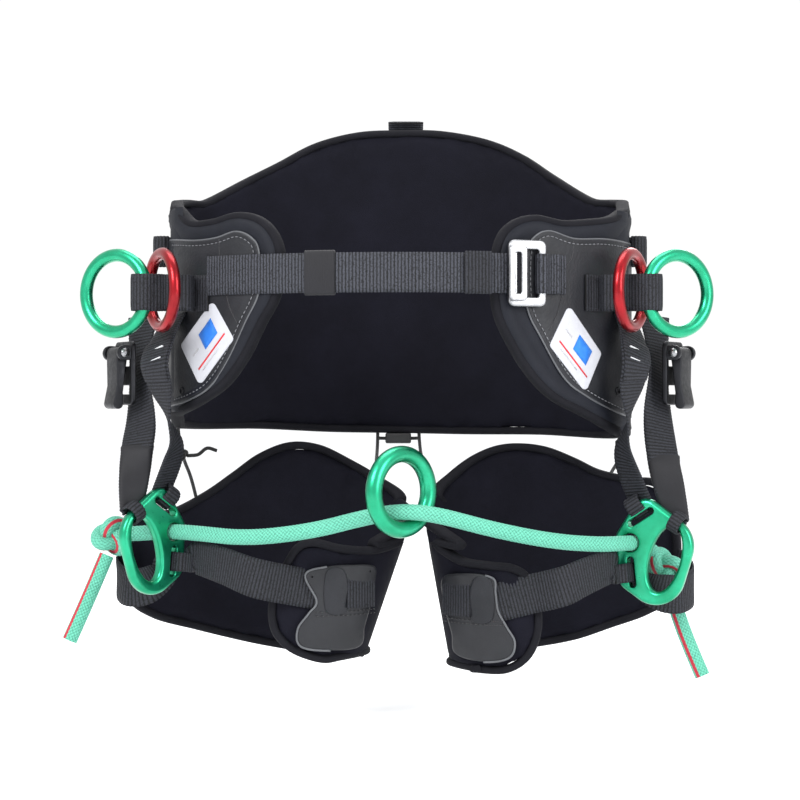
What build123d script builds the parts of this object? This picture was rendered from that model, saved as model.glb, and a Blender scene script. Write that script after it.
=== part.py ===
from build123d import *
import os
from math import asin, cos, degrees, hypot, pi, radians, sin, tan

# Tree climbing saddle, worn upright. Millimetres, +Z up, -Y is the wearer's front and +X the
# viewer's right. The origin is the middle of the waist opening at the height of the belt.

# --- driving dimensions ---------------------------------------------------------------------
WEBBING = 30.0            # width of the belt and riser webbing
WEB_T = 2.4               # thickness of one layer of webbing
PAD_T = 9.0               # thickness of the padded back, wings and leg pads
PANEL_T = 1.6             # leather-like reinforcement
CLEAR = 0.4               # gap between a moving piece and what it rubs on
HALF_WIDTH = 183.0        # half of the waist oval across the hips
HALF_DEPTH = 112.0        # half of the waist oval front to back
HIP_RADIUS = 75.0         # hip arcs of the waist oval
ROPE_D = 12.0             # bridge rope
ELASTIC_D = 3.0           # shock cord that holds the leg pads up
SIDES = {"left": -1, "right": 1}

# The waist oval is four tangent arcs, so every layer on it is an exact concentric offset.
HIP_X = HALF_WIDTH - HIP_RADIUS
ARC_K = (HIP_X**2 - (HALF_DEPTH - HIP_RADIUS)**2) / (2 * (HALF_DEPTH - HIP_RADIUS))
BACK_RADIUS = HALF_DEPTH + ARC_K
BACK_HALF = degrees(asin(HIP_X / hypot(HIP_X, ARC_K)))

os.makedirs("parts", exist_ok=True)


def save(part, name):
    part.label = name
    export_step(part, f"parts/{name}.step")


def oval(offset):
    """The waist oval in plan, grown by offset."""
    with BuildSketch(mode=Mode.PRIVATE) as plan:
        with BuildLine():
            hip = 90 - BACK_HALF
            CenterArc((HIP_X, 0), HIP_RADIUS + offset, -hip, 2 * hip)
            CenterArc((0, -ARC_K), BACK_RADIUS + offset, hip, 2 * BACK_HALF)
            CenterArc((-HIP_X, 0), HIP_RADIUS + offset, 180 - hip, 2 * hip)
            CenterArc((0, ARC_K), BACK_RADIUS + offset, 180 + hip, 2 * BACK_HALF)
        make_face()
    return plan.sketch


def layer(inner, outer, outline, front):
    """The part of a layer on the oval that lies under a front-view outline of (x, z) points."""
    with BuildPart() as piece:
        with BuildSketch(Plane.XY.offset(-160)):
            add(oval(outer))
            add(oval(inner), mode=Mode.SUBTRACT)
        extrude(amount=320)
        with BuildSketch(Plane.XZ):
            add(outline)
        extrude(amount=160 if front else -160, mode=Mode.INTERSECT)
    return piece.part


def smooth(points):
    """A closed smooth outline through (x, z) points."""
    with BuildSketch(mode=Mode.PRIVATE) as shape:
        with BuildLine():
            Spline(*points, periodic=True)
        make_face()
    return shape.sketch


def angular(points, radius=0.0):
    """A closed polygon through (x, z) points, with rounded corners if asked."""
    with BuildSketch(mode=Mode.PRIVATE) as shape:
        Polygon(*points, align=None)
        if radius:
            fillet(shape.vertices(), radius)
    return shape.sketch


def ribbon(stations, width, thickness):
    """Webbing through stations of (centre, direction along it, direction across its face)."""
    with BuildPart() as strap:
        for centre, along, across, *scale in stations:
            share = scale[0] if scale else 1.0
            with BuildSketch(Plane(origin=centre, x_dir=across, z_dir=along)):
                Rectangle(width * share, thickness)
        loft(ruled=True)
    return strap.part


def cord(points, diameter, name):
    """A cord of straight runs and tangent arcs through the points of its route."""
    runs = [Vector(*b) - Vector(*a) for a, b in zip(points, points[1:])]
    turns = [a.get_angle(b) for a, b in zip(runs, runs[1:])]
    radii = [
        0.45 * min(a.length, b.length) / tan(radians(turn) / 2)
        for a, b, turn in zip(runs, runs[1:], turns)
    ]
    with BuildPart() as tube:
        with BuildLine() as route:
            FilletPolyline(*points, radius=radii)
        with BuildSketch(Plane(origin=points[0], z_dir=runs[0])):
            Circle(diameter / 2)
        sweep()
    length = route.wires()[0].length
    expected = pi * diameter**2 / 4 * length
    print(name, "length", round(length, 1), "radii", [round(r) for r in radii])
    print(name, "volume / expected", round(tube.part.volume / expected, 4))
    return tube.part


# --- padded back and hip wings --------------------------------------------------------------
BACK_OUTLINE = [
    (0, 132), (36, 131), (74, 123), (104, 109), (130, 90), (160, 69), (188, 57), (200, 0),
    (196, -112), (180, -123), (120, -121), (60, -121), (0, -120), (-60, -119), (-120, -116),
    (-180, -115), (-196, -106), (-200, 0), (-186, 58), (-163, 67), (-132, 86), (-104, 102),
    (-72, 120), (-36, 130),
]
WING_OUTLINES = {
    "left": [
        (-205, 58), (-182, 57), (-164, 42), (-145, 41), (-125, 45), (-108, 41), (-96, 29),
        (-91, 10), (-95, -16), (-106, -36), (-120, -62), (-136, -82), (-156, -95),
        (-178, -104), (-205, -112), (-215, -40),
    ],
    "right": [
        (205, 57), (184, 55), (166, 45), (146, 41), (124, 39), (104, 42), (88, 38), (77, 27),
        (72, 5), (74, -28), (86, -54), (101, -76), (118, -92), (140, -103), (178, -121),
        (205, -126), (215, -40),
    ],
}
PANEL_OUTLINES = {
    "left": [
        (-205, 34), (-180, 31), (-158, 28), (-140, 29), (-124, 33), (-112, 28), (-106, 17),
        (-106, -13), (-117, -37), (-130, -64), (-144, -84), (-160, -94), (-180, -100),
        (-205, -104), (-212, -40),
    ],
    "right": [
        (205, 28), (182, 28), (156, 29), (132, 28), (112, 33), (100, 27), (94, 14),
        (95, -24), (106, -48), (124, -78), (142, -92), (164, -103), (184, -110),
        (205, -114), (212, -40),
    ],
}
LABEL_CORNERS = {
    "left": [(-142, -20), (-126, -48), (-153, -83), (-168, -53)],
    "right": [(127, -24), (153, -60), (141, -88), (113, -53)],
}

save(layer(-PAD_T, 0, smooth(BACK_OUTLINE), front=False), "back_pad")
for side in SIDES:
    wing = layer(-PAD_T, 0, smooth(WING_OUTLINES[side]), front=True)
    save(wing, f"hip_wing_{side}")
    panel = layer(0, PANEL_T, smooth(PANEL_OUTLINES[side]), front=True)
    save(panel, f"hip_panel_{side}")
    label = layer(PANEL_T, PANEL_T + 0.5, angular(LABEL_CORNERS[side]), front=True)
    save(label, f"panel_label_{side}")

# --- waist belt -----------------------------------------------------------------------------
BELT_IN = PANEL_T                    # the belt lies on the panels
BELT_OUT = BELT_IN + WEB_T
BELT_START = -146.0
BUCKLE_LEFT = 78.0                   # left edge of the buckle in front view
BUCKLE_RIGHT = 108.0
BELT_END = 124.0
HALF_WEB = WEBBING / 2


def belt_span(x0, x1, inner, outer, half=HALF_WEB, front=True):
    """A stretch of belt between two x values."""
    corners = [(x0, -half), (x1, -half), (x1, half), (x0, half)]
    return layer(inner, outer, angular(corners), front)


save(belt_span(BELT_START, BUCKLE_LEFT + 2, BELT_IN, BELT_OUT), "waist_belt_left")
save(belt_span(BUCKLE_RIGHT - 6, BELT_END, BELT_IN, BELT_OUT), "waist_belt_right")
save(belt_span(47, 67, BELT_OUT, BELT_OUT + 3.4, half=16), "belt_folded_end")
save(belt_span(-178, 178, 0, WEB_T, front=False), "belt_rear")

# The elastic keeper is a flat sleeve round the belt that slides along the front arc.
with BuildPart() as keeper:
    add(belt_span(-70, -48, BELT_IN - CLEAR - 1.0, BELT_OUT + CLEAR + 1.0, half=HALF_WEB + 2))
    add(belt_span(-80, -38, BELT_IN - CLEAR, BELT_OUT + CLEAR, half=HALF_WEB + 0.8),
        mode=Mode.SUBTRACT)
save(keeper.part, "belt_keeper")

# Quick-connect buckle: an outer frame on the right webbing and a plate on the left webbing.
BUCKLE_X = (BUCKLE_LEFT + BUCKLE_RIGHT) / 2
BUCKLE_YAW = degrees(asin(BUCKLE_X / BACK_RADIUS))
BUCKLE_LIFT = BELT_OUT + CLEAR       # height of the buckle's back face over the oval
FRAME_W = 31.0
FRAME_H = 50.0
FRAME_T = 3.6
PLATE_T = 2.6


def on_front(x, offset):
    """A plane that lies on the oval's front face at x, its normal pointing outwards."""
    reach = BACK_RADIUS + offset
    yaw = asin(x / BACK_RADIUS)
    origin = (reach * sin(yaw), ARC_K - reach * cos(yaw), 0)
    return Plane(origin=origin, x_dir=(cos(yaw), sin(yaw), 0), z_dir=(sin(yaw), -cos(yaw), 0))


with BuildPart() as frame:
    with BuildSketch(on_front(BUCKLE_X, BUCKLE_LIFT)):
        RectangleRounded(FRAME_W, FRAME_H, 5)
        with Locations((0.5, 0)):
            RectangleRounded(FRAME_W - 13, FRAME_H - 14, 2, mode=Mode.SUBTRACT)
    extrude(amount=FRAME_T)
    fillet(frame.edges().group_by(Axis.Z)[-1], 0.8)
save(frame.part, "buckle_frame")

with BuildPart() as plate:
    with BuildSketch(on_front(BUCKLE_X, BUCKLE_LIFT + FRAME_T + CLEAR)):
        with Locations((-9, 0)):
            RectangleRounded(15, 42, 4)
            RectangleRounded(5, 31, 1.5, mode=Mode.SUBTRACT)
    extrude(amount=PLATE_T)
save(plate.part, "buckle_plate")

# --- rings on the hips ----------------------------------------------------------------------
TAB_HALF = 14.0                      # half height of the ring tab webbing
TAB_Z = -13.0
TAB_T = 2 * WEB_T
TAB_SLOPE = 0.2                      # the tab leans back towards the wing
TAB_PATCH = {
    "left": [(-165, -28), (-149, -26), (-147, 3), (-163, 2)],
    "right": [(153, -28), (137, -26), (135, 3), (151, 2)],
}
LIMB_X = 195.0                       # where the side ring's limb stands in its tab
LIMB_Y = -74.0
POCKET_R = 8.2                       # room for the curved limb to turn in the fold
SIDE_RING_R = 29.5
SIDE_RING_D = 10.0
SIDE_RING_YAW = 31.0
GEAR_RING_R = 28.0
GEAR_RING_D = 9.0
GEAR_RING_YAW = 27.0
GEAR_X = 182.0
GEAR_Y = -71.0
GEAR_Z = -11.0
RIGHT_SHIFT = -5.0                   # the right hardware is worn a little closer in


def hip(side, x, y, z):
    """A point given for the left hip's distance out, on the side asked for."""
    shift = RIGHT_SHIFT if side == "right" else 0.0
    return (SIDES[side] * x + shift, y, z)


def torus(centre, normal, ring_radius, section):
    """A round ring of round bar."""
    across = Vector(*normal).cross(Vector(0, 0, 1)).normalized()
    with BuildPart() as ring:
        with BuildSketch(Plane(origin=centre, x_dir=across, z_dir=(0, 0, 1))):
            with Locations((ring_radius, 0)):
                Circle(section / 2)
        revolve(axis=Axis(centre, normal))
    return ring.part


for side, sign in SIDES.items():
    limb = hip(side, LIMB_X, LIMB_Y, TAB_Z)
    with BuildPart() as tab:
        with BuildSketch(Plane.XY.offset(TAB_Z - TAB_HALF)):
            with Locations((limb[0], limb[1])):
                Circle(POCKET_R + WEB_T)
            with Locations(Location((limb[0] - sign * 28, limb[1] + 28 * TAB_SLOPE),
                                    -sign * degrees(TAB_SLOPE))):
                Rectangle(60, TAB_T)
            with Locations((limb[0], limb[1])):
                Circle(POCKET_R, mode=Mode.SUBTRACT)
            add(oval(PANEL_T), mode=Mode.SUBTRACT)
        extrude(amount=2 * TAB_HALF)
        add(layer(PANEL_T, PANEL_T + WEB_T, angular(TAB_PATCH[side]), front=True))
    tab_part = tab.part.solids().sort_by(SortBy.VOLUME)
    save(tab_part[-1], f"ring_tab_{side}")

    yaw = radians(SIDE_RING_YAW)
    outwards = (sign * cos(yaw), sin(yaw))
    centre = (
        limb[0] + outwards[0] * (SIDE_RING_R - 2),
        limb[1] + outwards[1] * (SIDE_RING_R - 2),
        TAB_Z,
    )
    save(torus(centre, (-outwards[1], outwards[0], 0), SIDE_RING_R, SIDE_RING_D),
         f"side_ring_{side}")

    yaw = radians(GEAR_RING_YAW)
    gear_centre = hip(side, GEAR_X, GEAR_Y, GEAR_Z)
    save(torus(gear_centre, (sign * cos(yaw), -sin(yaw), 0), GEAR_RING_R, GEAR_RING_D),
         f"gear_ring_{side}")

# --- bridge rings ---------------------------------------------------------------------------
# Each ring is a plate in its own plane: u points to the wearer's middle, v points up.
BRIDGE_T = 9.0
BRIDGE = {
    "left": {"centre": (-194, -50, -206), "yaw": 47.0},
    "right": {"centre": (200, -50, -214), "yaw": 27.0},
}
HULL = [(-5, 6, 24), (2, -16, 24), (9, 30, 12.5), (22, 10, 12.5), (20, -18, 12.5)]
BIG_OPENING = (-6, -4, 17)            # u, v and tilt of the tall opening
ROPE_HOLE = (21.5, 8)
ROPE_HOLE_R = 7.3
RISER_SLOT = (13, 28, -33)            # u, v and tilt of the front riser's slot
LEG_SLOT = (20.5, -15, 84)
SLOT_L = 24.0
RIM_EYE_R = 8.5                       # inside radius of a webbing loop round a rim
REAR_EYE_R = 9.0                      # the rear riser's loop is round the top rim
REAR_TILT = radians(30)
REAR_EYE_W = 16.0
TAPE_T = 1.0                          # smooth tape sleeve over the rear riser's end
EYE_W = 20.0                          # webbing gathered where it passes round a ring
RIM_CENTRES = {"riser": (18, 37), "leg": (29, -16), "rear": (-15.5, 24.5)}


def bridge_axes(side):
    """The ring's centre, its inward direction u and its face's normal."""
    yaw = radians(BRIDGE[side]["yaw"])
    sign = SIDES[side]
    centre = Vector(*BRIDGE[side]["centre"])
    return centre, Vector(-sign * cos(yaw), sin(yaw), 0), Vector(-sign * sin(yaw), -cos(yaw), 0)


def on_bridge(side, u, v, lift=0.0):
    """A world point at (u, v) on a bridge ring, lifted along its normal."""
    centre, inward, normal = bridge_axes(side)
    return tuple(centre + inward * u + normal * lift + Vector(0, 0, v))


for side, sign in SIDES.items():
    centre, inward, normal = bridge_axes(side)
    # The sketch's x runs towards +X for both sides, so u is measured by -sign.
    face = Plane(origin=centre, x_dir=inward * -sign, z_dir=normal)
    with BuildPart() as ring:
        with BuildSketch(face.offset(-BRIDGE_T / 2)):
            for u, v, radius in HULL:
                with Locations((-u * sign, v)):
                    Circle(radius)
            make_hull()
            u, v, tilt = BIG_OPENING
            with Locations(Location((-u * sign, v), -tilt * sign)):
                Ellipse(12.5, 26.5, mode=Mode.SUBTRACT)
            with Locations((-ROPE_HOLE[0] * sign, ROPE_HOLE[1])):
                Circle(ROPE_HOLE_R, mode=Mode.SUBTRACT)
            for (u, v, tilt), width in ((RISER_SLOT, 5.5), (LEG_SLOT, 5.5)):
                with Locations(Location((-u * sign, v), -tilt * sign)):
                    SlotOverall(SLOT_L, width, mode=Mode.SUBTRACT)
        extrude(amount=BRIDGE_T)
        flats = ring.faces().filter_by(GeomType.PLANE).filter_by(
            lambda f: abs(f.normal_at().dot(normal)) > 0.99)
        chamfer(flats.edges(), 1.0)
    save(ring.part, f"bridge_ring_{side}")


def eye(centre, axis, inner, width):
    """Webbing looped round a bar that runs along axis."""
    with BuildPart() as loop:
        with BuildSketch(Plane(origin=Vector(*centre) - axis * (width / 2), z_dir=axis)):
            Circle(inner + WEB_T)
            Circle(inner, mode=Mode.SUBTRACT)
        extrude(amount=width)
    return loop.part


# --- risers from the hips to the bridge rings -----------------------------------------------
# Stations of the risers: height, distance out, depth, turn of the width from +X, share.
FRONT_RISER = {
    "left": [
        (-30, 175.5, -40, -59, 1.0), (-46, 183, -52, -52, 1.0), (-66, 188, -66, -42, 1.0),
        (-86, 184, -64, -50, 1.0), (-112, 178, -59, -84, 0.8), (-136, 175, -50, -112, 0.9),
    ],
    "right": [
        (-30, 175.5, -40, -59, 1.0), (-46, 180, -52, -52, 1.0), (-66, 181, -66, -42, 1.0),
        (-86, 178, -64, -50, 1.0), (-112, 176, -59, -84, 0.8), (-140, 174, -51, -116, 0.9),
    ],
}
REAR_RISER = {
    "left": [
        (-28, 205, -4, -34, 1.0), (-70, 207, -14, -56, 1.0), (-110, 204, -28, -38, 1.0),
        (-138, 205, -44, -12, 0.9),
    ],
    "right": [
        (-28, 203, -4, -34, 1.0), (-70, 205, -14, -56, 1.0), (-110, 203, -28, -38, 1.0),
        (-148, 206, -44, -14, 0.9),
    ],
}


def riser_stations(side, rows, rim, bar_axis, rim_r, rim_w):
    """Centre, direction, width direction and width share of each station of a riser."""
    sign = SIDES[side]
    points = [Vector(sign * out, depth, z) for z, out, depth, turn, share in rows]
    widths = [
        Vector(-sign * cos(radians(turn)), sin(radians(turn)), 0)
        for z, out, depth, turn, share in rows
    ]
    shares = [row[4] for row in rows]
    level = Vector(bar_axis.X, bar_axis.Y, 0).normalized()
    points.append(rim + Vector(0, 0, rim_r + WEB_T / 2))
    widths.append(level if level.dot(widths[-1]) > 0 else level * -1)
    shares.append(rim_w / WEBBING)
    return stations_along(points, widths, shares)


def stations_along(points, widths, shares):
    """Ribbon stations through points, each width direction squared to the run."""
    stations = []
    for i, (point, across, share) in enumerate(zip(points, widths, shares)):
        along = points[min(i + 1, len(points) - 1)] - points[max(i - 1, 0)]
        across = across - along * (across.dot(along) / along.dot(along))
        stations.append((point, along.normalized(), across.normalized(), share))
    return stations


for side, sign in SIDES.items():
    centre, inward, normal = bridge_axes(side)
    slope = radians(RISER_SLOT[2])
    bar_axis = inward * cos(slope) + Vector(0, 0, sin(slope))
    front_rim = Vector(*on_bridge(side, *RIM_CENTRES["riser"]))
    stations = riser_stations(side, FRONT_RISER[side], front_rim, bar_axis, RIM_EYE_R, EYE_W)
    with BuildPart() as front:
        add(ribbon(stations, WEBBING, WEB_T))
        add(eye(front_rim, bar_axis, RIM_EYE_R, EYE_W))
    save(front.part, f"front_riser_{side}")
    rear_rim = Vector(*on_bridge(side, *RIM_CENTRES["rear"]))
    rear_axis = inward * cos(REAR_TILT) + Vector(0, 0, sin(REAR_TILT))
    stations = riser_stations(
        side, REAR_RISER[side], rear_rim, rear_axis, REAR_EYE_R, REAR_EYE_W)
    with BuildPart() as rear:
        add(ribbon(stations, WEBBING, WEB_T))
        add(eye(rear_rim, rear_axis, REAR_EYE_R, REAR_EYE_W))
    save(rear.part, f"rear_riser_{side}")
    # Smooth tape sleeve over the last stretch of the rear riser.
    with BuildPart() as tape:
        add(ribbon(stations[-2:], WEBBING + 2 * TAPE_T, WEB_T + 2 * TAPE_T))
        add(ribbon(stations[-2:], WEBBING, WEB_T), mode=Mode.SUBTRACT)
    save(tape.part, f"riser_sleeve_{side}")

# Cam adjusters at the hips, on the outer face of the rear risers.
CAM = {"left": (-215, -19.5, -74), "right": (213.5, -20, -74)}
CAM_TURN = 62.0
CAM_W = 38.0
CAM_H = 50.0
CAM_T = 4.0
PIN_D = 5.0
PIN_LIFT = 9.0                        # height of the lever's pin over the frame's back
LEVER_W = 24.0
for side, sign in SIDES.items():
    turn = radians(CAM_TURN)
    across = Vector(cos(turn), sign * sin(turn), 0)
    outward = Vector(sign * sin(turn), -cos(turn), 0)
    base = Plane(origin=CAM[side], x_dir=across, z_dir=outward)
    pin_origin = Vector(*CAM[side]) + outward * PIN_LIFT + Vector(0, 0, 16)
    ear_plane = Plane(origin=pin_origin, x_dir=(0, 0, 1), z_dir=across)
    with BuildPart() as cam_frame:
        with BuildSketch(base):
            RectangleRounded(CAM_W, CAM_H, 5)
            with Locations((0, 9), (0, -13)):
                RectangleRounded(27, 7, 1.5, mode=Mode.SUBTRACT)
        extrude(amount=CAM_T)
        for offset in (-CAM_W / 2 + 1, CAM_W / 2 - 5):
            with BuildSketch(ear_plane.offset(offset)):
                with Locations((0, 0)):
                    Circle(6)
                with Locations((0, -3)):
                    Rectangle(12, 8)
            extrude(amount=4)
        with BuildSketch(ear_plane.offset(-CAM_W)):
            Circle(PIN_D / 2)
        extrude(amount=2 * CAM_W, mode=Mode.SUBTRACT)
    save(cam_frame.part, f"cam_frame_{side}")
    with BuildPart() as pin:
        with BuildSketch(ear_plane.offset(-CAM_W / 2)):
            Circle(PIN_D / 2)
        extrude(amount=CAM_W)
    save(pin.part, f"cam_pin_{side}")
    with BuildPart() as lever:
        with BuildSketch(ear_plane.offset(-LEVER_W / 2)):
            Circle(4.6)
            with Locations((-19, 1.6)):
                Rectangle(38, 4.4)
            with Locations((-40, 3)):
                Circle(4)
            with Locations((0, 0)):
                Circle(PIN_D / 2 + 0.08, mode=Mode.SUBTRACT)
        extrude(amount=LEVER_W)
    save(lever.part, f"cam_lever_{side}")

# --- rope bridge ----------------------------------------------------------------------------
BRIDGE_ROUTE = [
    (-213, -15, -201), (-197, -18, -200), (-181, -31, -198), (-157, -53, -198),
    (-116, -86, -200), (-66, -108, -193), (-26, -118, -182), (2, -121, -177),
    (28, -119, -180), (70, -108, -192), (116, -88, -202), (154, -67, -206),
    (178, -46, -206), (189, -28, -208), (200, -16, -215),
]
KNOT_R = 15.0
KNOTS = {"left": (-228, -16, -203), "right": (209, -13, -228)}
TAIL_ROUTES = {
    "left": [(-232, -18, -217.6), (-239, -21, -235), (-249, -24, -259), (-260, -26, -284)],
    "right": [(213, -15, -242.6), (219, -18, -262), (227, -22, -286), (238, -26, -312)],
}
save(cord(BRIDGE_ROUTE, ROPE_D, "bridge_rope"), "bridge_rope")
for side in SIDES:
    with BuildPart() as knot:
        Sphere(KNOT_R)
    save(knot.part.moved(Location(KNOTS[side])), f"rope_knot_{side}")
    save(cord(TAIL_ROUTES[side], ROPE_D, f"rope_tail_{side}"), f"rope_tail_{side}")

# The centre ring stands on the rope, turned so that the rope crosses it at a slant.
CENTRE_RING_R = 28.0
CENTRE_RING_D = 12.5
CENTRE_RING = (1, -121, -163)
CENTRE_YAW = radians(46)
save(torus(CENTRE_RING, (cos(CENTRE_YAW), -sin(CENTRE_YAW), 0), CENTRE_RING_R, CENTRE_RING_D),
     "centre_ring")

# --- leg loops ------------------------------------------------------------------------------
# Each leg pad wraps the inside of a thigh: a tapering band whose plan is a long back arc, an
# inner half circle and a straight front. x is the left leg's; the right leg mirrors it.
LEG_TOP_Z = -125.0
LEG_LOW_Z = -310.0
LEG_OUT_X = -235.0
LEG_MIRROR_X = {"left": 0.0, "right": 31.0}
LEG_INNER_X = {"left": (33.0, -30.0), "right": (25.0, -8.0)}
LEG_BACK_Y = (64.0, 46.0)
LEG_FRONT_Y = (-80.0, -68.0)
LEG_DROP = 40.0                       # how far the back curves forward at its outer end


def thigh(side, offset):
    """The tapering solid of a thigh, grown by offset, that the leg pad's layers lie on."""
    flip = -SIDES[side]
    with BuildPart() as solid:
        for z, inner, back, front in zip(
            (LEG_TOP_Z, LEG_LOW_Z), LEG_INNER_X[side], LEG_BACK_Y, LEG_FRONT_Y
        ):
            radius = (back - front) / 2
            cx = inner - radius
            cy = (back + front) / 2
            reach = cx - (LEG_OUT_X + 17)
            long_r = (reach**2 + LEG_DROP**2) / (2 * LEG_DROP)
            arc_y = back - long_r
            grown = long_r + offset
            end_y = arc_y + (grown**2 - (LEG_OUT_X - cx)**2)**0.5
            half_x = (LEG_OUT_X + cx) / 2
            half_y = arc_y + (grown**2 - (half_x - cx)**2)**0.5
            points = [
                (LEG_OUT_X, end_y), (half_x, half_y), (cx, back + offset),
                (inner + offset, cy), (cx, front - offset), (LEG_OUT_X, front - offset),
            ]
            points = [(LEG_MIRROR_X[side] + x * flip, y) for x, y in points]
            with BuildSketch(Plane.XY.offset(z)):
                with BuildLine():
                    ThreePointArc(points[0], points[1], points[2])
                    ThreePointArc(points[2], points[3], points[4])
                    Line(points[4], points[5])
                    Line(points[5], points[0])
                make_face()
        loft(ruled=True)
    return solid.part


LEG_SPLIT_Y = -8.0


def leg_layer(side, inner, outer, front=None, back=None):
    """A layer on the thigh under a front outline, a back outline, or both joined."""
    with BuildPart() as band:
        add(thigh(side, outer))
        add(thigh(side, inner), mode=Mode.SUBTRACT)
    halves = []
    for outline, reach in ((back, -140), (front, 140)):
        if outline is not None:
            with BuildPart() as half:
                with BuildSketch(Plane.XZ.offset(-LEG_SPLIT_Y)):
                    add(outline)
                extrude(amount=reach)
                add(band.part, mode=Mode.INTERSECT)
            halves.append(half.part)
    with BuildPart() as piece:
        add(halves)
    return piece.part


LEG_BACK = {
    "left": [
        (-216, -190), (-188, -187), (-160, -173), (-137, -157), (-116, -142), (-92, -133),
        (-68, -135), (-44, -146), (-20, -159), (4, -175), (24, -184), (48, -186), (54, -240),
        (30, -306), (-20, -303), (-62, -300), (-101, -295), (-130, -289), (-167, -279),
        (-201, -268), (-219, -252), (-224, -220),
    ],
    "right": [
        (214, -166), (190, -161), (164, -155), (145, -146), (122, -137), (100, -134),
        (80, -136), (60, -144), (41, -157), (26, -172), (12, -184), (-10, -188), (-14, -240),
        (0, -300), (40, -301), (80, -298), (115, -294), (145, -288), (173, -278), (203, -266),
        (222, -250), (226, -205),
    ],
}
LEG_FRONT = {
    "left": [
        (54, -188), (24, -188), (2, -206), (-18, -211), (-44, -209), (-66, -204), (-78, -208),
        (-87, -222), (-94, -238), (-98, -256), (-95, -273), (-82, -286), (-60, -294),
        (-26, -300), (20, -304), (54, -300), (62, -240),
    ],
    "right": [
        (-20, -192), (12, -190), (26, -207), (44, -219), (66, -222), (86, -224), (98, -232),
        (105, -250), (105, -274), (97, -292), (80, -302), (56, -303), (32, -301), (0, -304),
        (-24, -300), (-34, -240),
    ],
}


def bounded(points):
    """A closed outline whose far corners lie outside the pad, joined by straight lines."""
    with BuildSketch(mode=Mode.PRIVATE) as shape:
        Polygon(*points, align=None)
    return shape.sketch


leg_pads = {}
for side in SIDES:
    leg_pads[side] = leg_layer(
        side, -PAD_T, 0, bounded(LEG_FRONT[side]), bounded(LEG_BACK[side]))
    save(leg_pads[side], f"leg_pad_{side}")

# The leg strap runs under a grey sleeve on the front flap and out to the bridge ring.
STRAP_PATH = {
    "left": [(-52, -242), (-80, -237)],
    "right": [(74, -250), (100, -243)],
}
SLEEVE_OUTLINE = {
    "left": [
        (-72, -228), (-56, -222), (-38, -221), (-22, -223), (-22, -236), (-25, -252),
        (-30, -270), (-34, -286), (-56, -287), (-76, -283), (-78, -270), (-70, -258),
        (-64, -248),
    ],
    "right": [
        (36, -233), (54, -228), (72, -231), (74, -242), (76, -256), (82, -268), (88, -280),
        (84, -292), (66, -296), (46, -292), (43, -276), (38, -256),
    ],
}
SLEEVE_OUT = 5.0
LEG_STATIONS = {
    "left": [(-110, -83.5, -230), (-136, -67, -222), (-158, -45, -218)],
    "right": [(124, -85.5, -236), (146, -72, -228), (163, -56, -224)],
}
# Stations from the leg bar to the pad's outer end: distance out, depth, height.
THIGH_STATIONS = {
    "left": [(188, -19, -233), (202, -20, -242), (218, -13, -243), (226, 5, -236),
             (217, 20.5, -229), (200, 23.5, -228)],
    "right": [(192, -35, -241), (207, -38, -246), (221, -32, -247), (232, -14, -243),
              (231, 6, -236), (221, 21.5, -229), (203, 27.5, -226)],
}
LEG_EYE_R = 8.6


def flat_strap(side):
    """A short stretch of leg strap under the sleeve, in the layer on the flap."""
    (xa, za), (xb, zb) = STRAP_PATH[side]
    half = HALF_WEB
    return [(xa, za - half), (xb, zb - half), (xb, zb + half), (xa, za + half)]


for side, sign in SIDES.items():
    tunnel = leg_layer(side, 0, WEB_T + 0.6, front=angular(flat_strap(side)))
    with BuildPart() as sleeve:
        add(leg_layer(side, 0, SLEEVE_OUT, front=angular(SLEEVE_OUTLINE[side])))
        add(tunnel, mode=Mode.SUBTRACT)
    save(sleeve.part, f"leg_sleeve_{side}")

    # The free strap leaves the sleeve's mouth and narrows to its loop round the leg bar.
    rim = Vector(*on_bridge(side, *RIM_CENTRES["leg"]))
    centre, inward, normal = bridge_axes(side)
    slope = radians(LEG_SLOT[2])
    bar = inward * cos(slope) + Vector(0, 0, sin(slope))
    (xa, za), (xb, zb) = STRAP_PATH[side]
    y_on_flap = -76.9 - WEB_T
    points = [Vector(xa, y_on_flap, za), Vector(xb, y_on_flap, zb)]
    points += [Vector(*p) for p in LEG_STATIONS[side]]
    reach = points[-1] - rim
    reach = (reach - bar * reach.dot(bar)).normalized()
    points.append(rim + reach * (LEG_EYE_R + WEB_T / 2))
    shares = [1.0, 1.0, 1.0, 0.95, 0.85, EYE_W / WEBBING]
    with BuildPart() as strap:
        add(ribbon(stations_along(points, [Vector(0, 0, 1)] * 6, shares), WEBBING, WEB_T))
        add(eye(rim, bar, LEG_EYE_R, EYE_W))
        add(leg_pads[side], mode=Mode.SUBTRACT)
        add(sleeve.part, mode=Mode.SUBTRACT)
    free_strap = strap.part.solids().sort_by(SortBy.VOLUME)[-1]
    save(free_strap, f"leg_strap_{side}")

    # The strap goes on behind the bridge ring and round to the pad's outer end.
    points = [rim - normal * (LEG_EYE_R + WEB_T * 1.5 + 2)]
    points += [Vector(sign * out, depth, z) for out, depth, z in THIGH_STATIONS[side]]
    shares = [EYE_W / WEBBING, 0.8] + [1.0] * (len(points) - 2)
    with BuildPart() as strap:
        add(ribbon(stations_along(points, [Vector(0, 0, 1)] * len(points), shares), WEBBING, WEB_T))
        add(leg_pads[side], mode=Mode.SUBTRACT)
        add(free_strap, mode=Mode.SUBTRACT)
    save(strap.part.solids().sort_by(SortBy.VOLUME)[-1], f"thigh_strap_{side}")

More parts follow.
